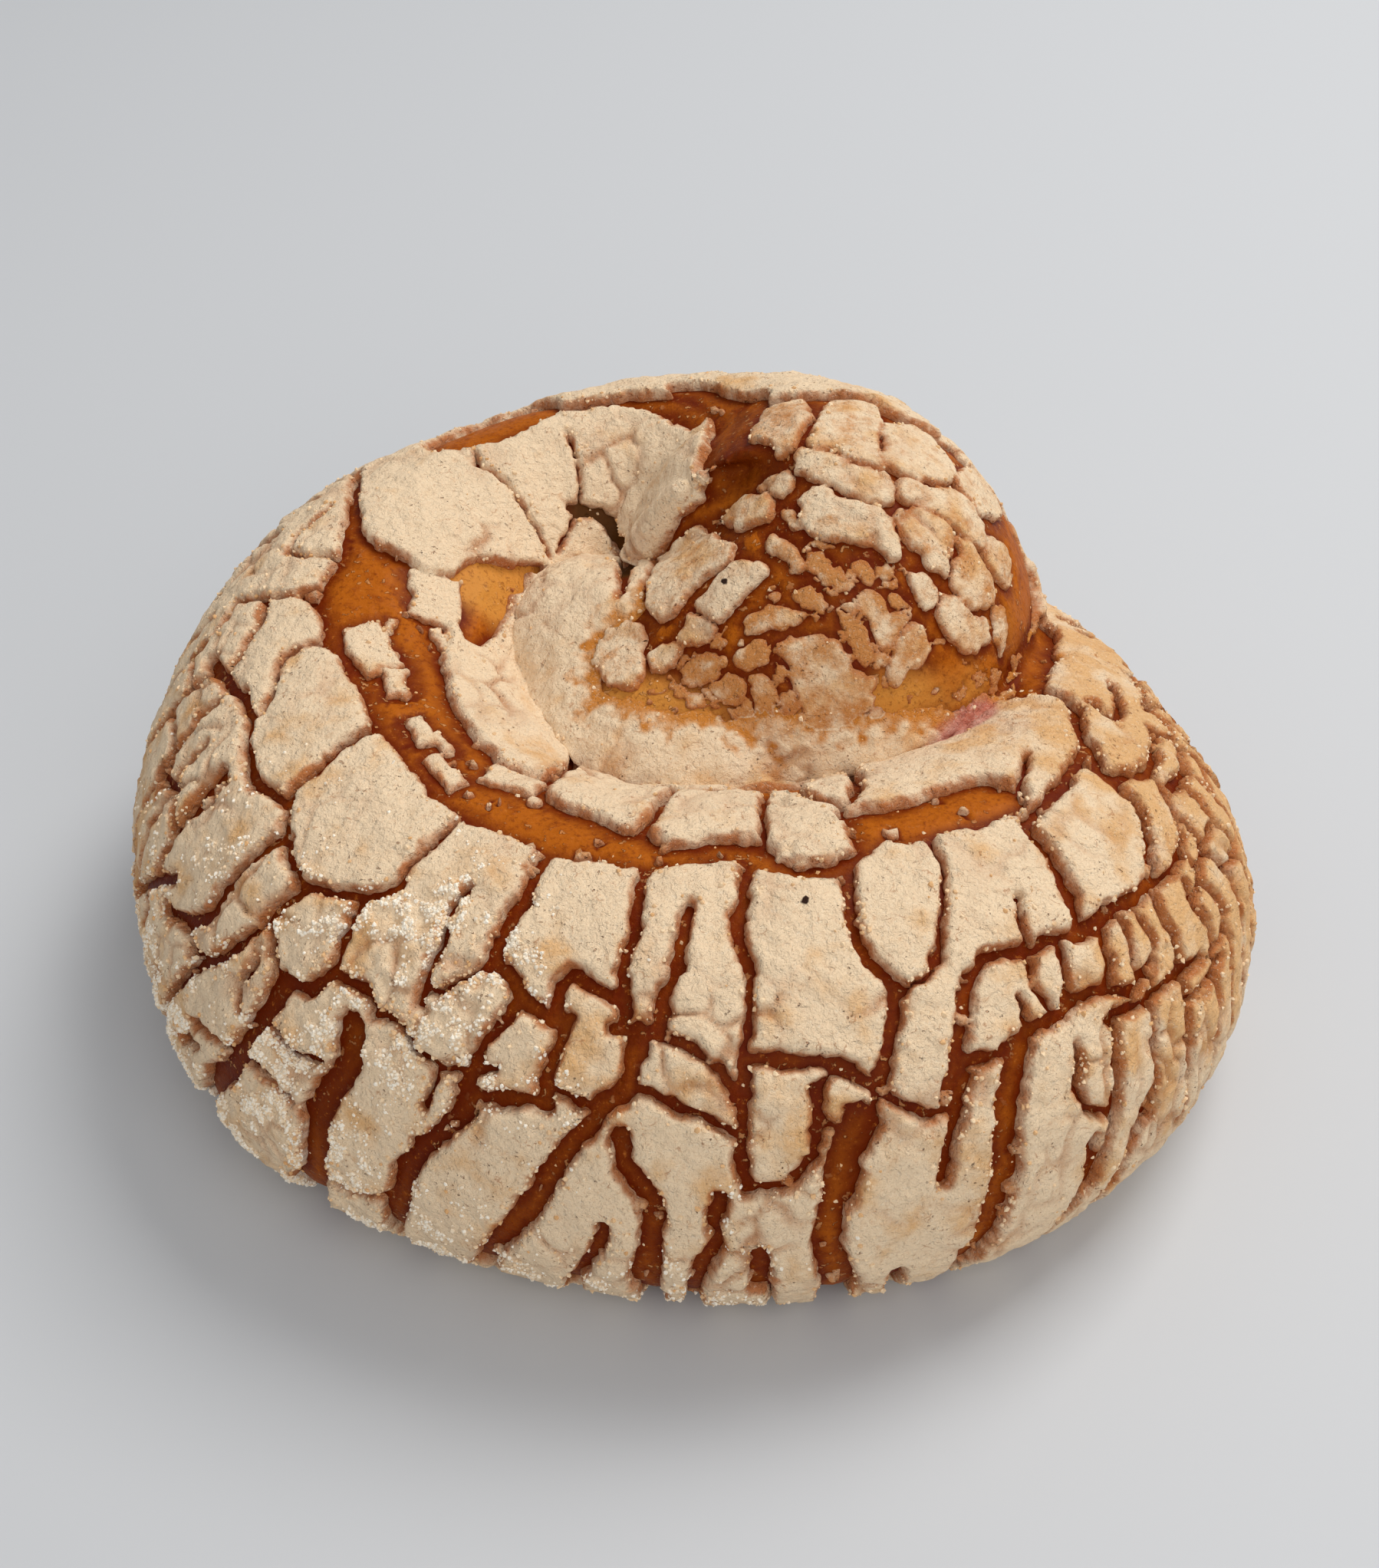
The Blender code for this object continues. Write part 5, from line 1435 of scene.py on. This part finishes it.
def loose_crumb():
    finish = Finish("crust_crumb")
    tint = finish.attribute("tint")
    colour = finish.mix(tint.between(0.2, 1.0), CRUMB_PALE, CRUMB_GOLD)
    return finish.shade(Base_Color=colour, Roughness=0.9, Specular_IOR_Level=0.25)


def sugar_crystal():
    finish = Finish("sugar_crystal")
    tint = finish.attribute("tint")
    colour = finish.mix(tint.between(0.2, 1.0), CRYSTAL_WHITE, CRYSTAL_CREAM)
    return finish.shade(Base_Color=colour, Roughness=0.45)


scatter_tree = scattering()
edge_share = np.clip(1 - depth / CRUMBLY_EDGE, 0, 1)
crumbly = edge_share * np.clip(0.4 + 1.6 * grain(points, 5), 0, 1) * (1 - np.clip(1.5 * browning, 0, 1))
crumbly *= 0.8 + 1.2 * frost
in_gaps = np.clip(gap_width - 0.2, 0, 0.5)
crumb, crystal = loose_crumb(), sugar_crystal()
on_crust, on_dough = (top, triangles), (dough_points, dough_triangles)
strew("crumbs_on_crust", *on_crust, 0.01 + crumbly, CRUST_CRUMBS, CRUMBS_ON_CRUST, crumb, 1)
strew("crumbs_on_dough", *on_dough, in_gaps, DOUGH_CRUMBS, CRUMBS_ON_DOUGH, crumb, 2)
strew("sugar", *on_crust, sugar_share, SUGAR_CRYSTALS, CRYSTALS, crystal, 3)


# ---- The table, the light and the camera ----
# The roll lies on a plain pale table, with a soft light at its back right and a wider one in front. The
# camera looks down on it over the table's front edge.

TABLE = 3  # from the roll to each edge of the table, in metres
TABLE_GREY = rgb(198, 200, 203)
SKY_COLOUR, SKY_STRENGTH = (0.93, 0.96, 1.0, 1), 0.4

floor_mesh = bpy.data.meshes.new("floor")
corners = [(-TABLE, -TABLE, 0), (TABLE, -TABLE, 0), (TABLE, TABLE, 0), (-TABLE, TABLE, 0)]
floor_mesh.from_pydata(corners, [], [(0, 1, 2, 3)])
floor = bpy.data.objects.new("floor", floor_mesh)
bpy.context.scene.collection.objects.link(floor)
floor_finish = Finish("pale_table")
floor_mesh.materials.append(floor_finish.shade(Base_Color=TABLE_GREY, Roughness=0.6))

world = bpy.data.worlds.new("soft_sky")
bpy.context.scene.world = world
world.use_nodes = True
world.node_tree.nodes["Background"].inputs["Color"].default_value = SKY_COLOUR
world.node_tree.nodes["Background"].inputs["Strength"].default_value = SKY_STRENGTH


def soft_light(name, place, size, power, colour):
    light = bpy.data.lights.new(name, "AREA")
    light.size = size
    light.energy = power
    light.color = colour
    lamp = bpy.data.objects.new(name, light)
    lamp.location = place
    lamp.rotation_euler = Vector(place).to_track_quat("Z", "Y").to_euler()
    bpy.context.scene.collection.objects.link(lamp)


soft_light("window", (0.45, 0.4, 0.85), 0.5, 6.7, (1.0, 0.98, 0.95))
soft_light("room", (0.3, -0.8, 0.8), 1.0, 5.2, (1.0, 0.97, 0.93))

# The camera looks down on the roll from in front, tilted a little to the left, as a hand held it.
PHOTO_WIDTH, PHOTO_HEIGHT = 1798, 2044
FOCAL_LENGTH = 1.45 * PHOTO_WIDTH  # in pixels of the photo
ELEVATION, ROLL, DISTANCE = math.radians(41), math.radians(-2.5), 0.2366
TARGET = Vector((-ROLL_CENTRE[0], -ROLL_CENTRE[1], 20)) * MM
forward = Vector((0, math.cos(ELEVATION), -math.sin(ELEVATION)))
right = Vector((1, 0, 0))
up = right.cross(forward)
tilted_right = right * math.cos(ROLL) + up * math.sin(ROLL)
tilted_up = up * math.cos(ROLL) - right * math.sin(ROLL)
lens = bpy.data.cameras.new("camera")
lens.sensor_fit = "VERTICAL"
lens.sensor_height = 36
lens.lens = FOCAL_LENGTH / PHOTO_HEIGHT * lens.sensor_height
lens.clip_start = 0.01
camera = bpy.data.objects.new("camera", lens)
camera.matrix_world = Matrix.Translation(TARGET - forward * DISTANCE) @ Matrix(
    (tilted_right, tilted_up, -forward)
).transposed().to_4x4()
bpy.context.scene.collection.objects.link(camera)
bpy.context.scene.camera = camera
bpy.context.scene.view_settings.view_transform = "Standard"
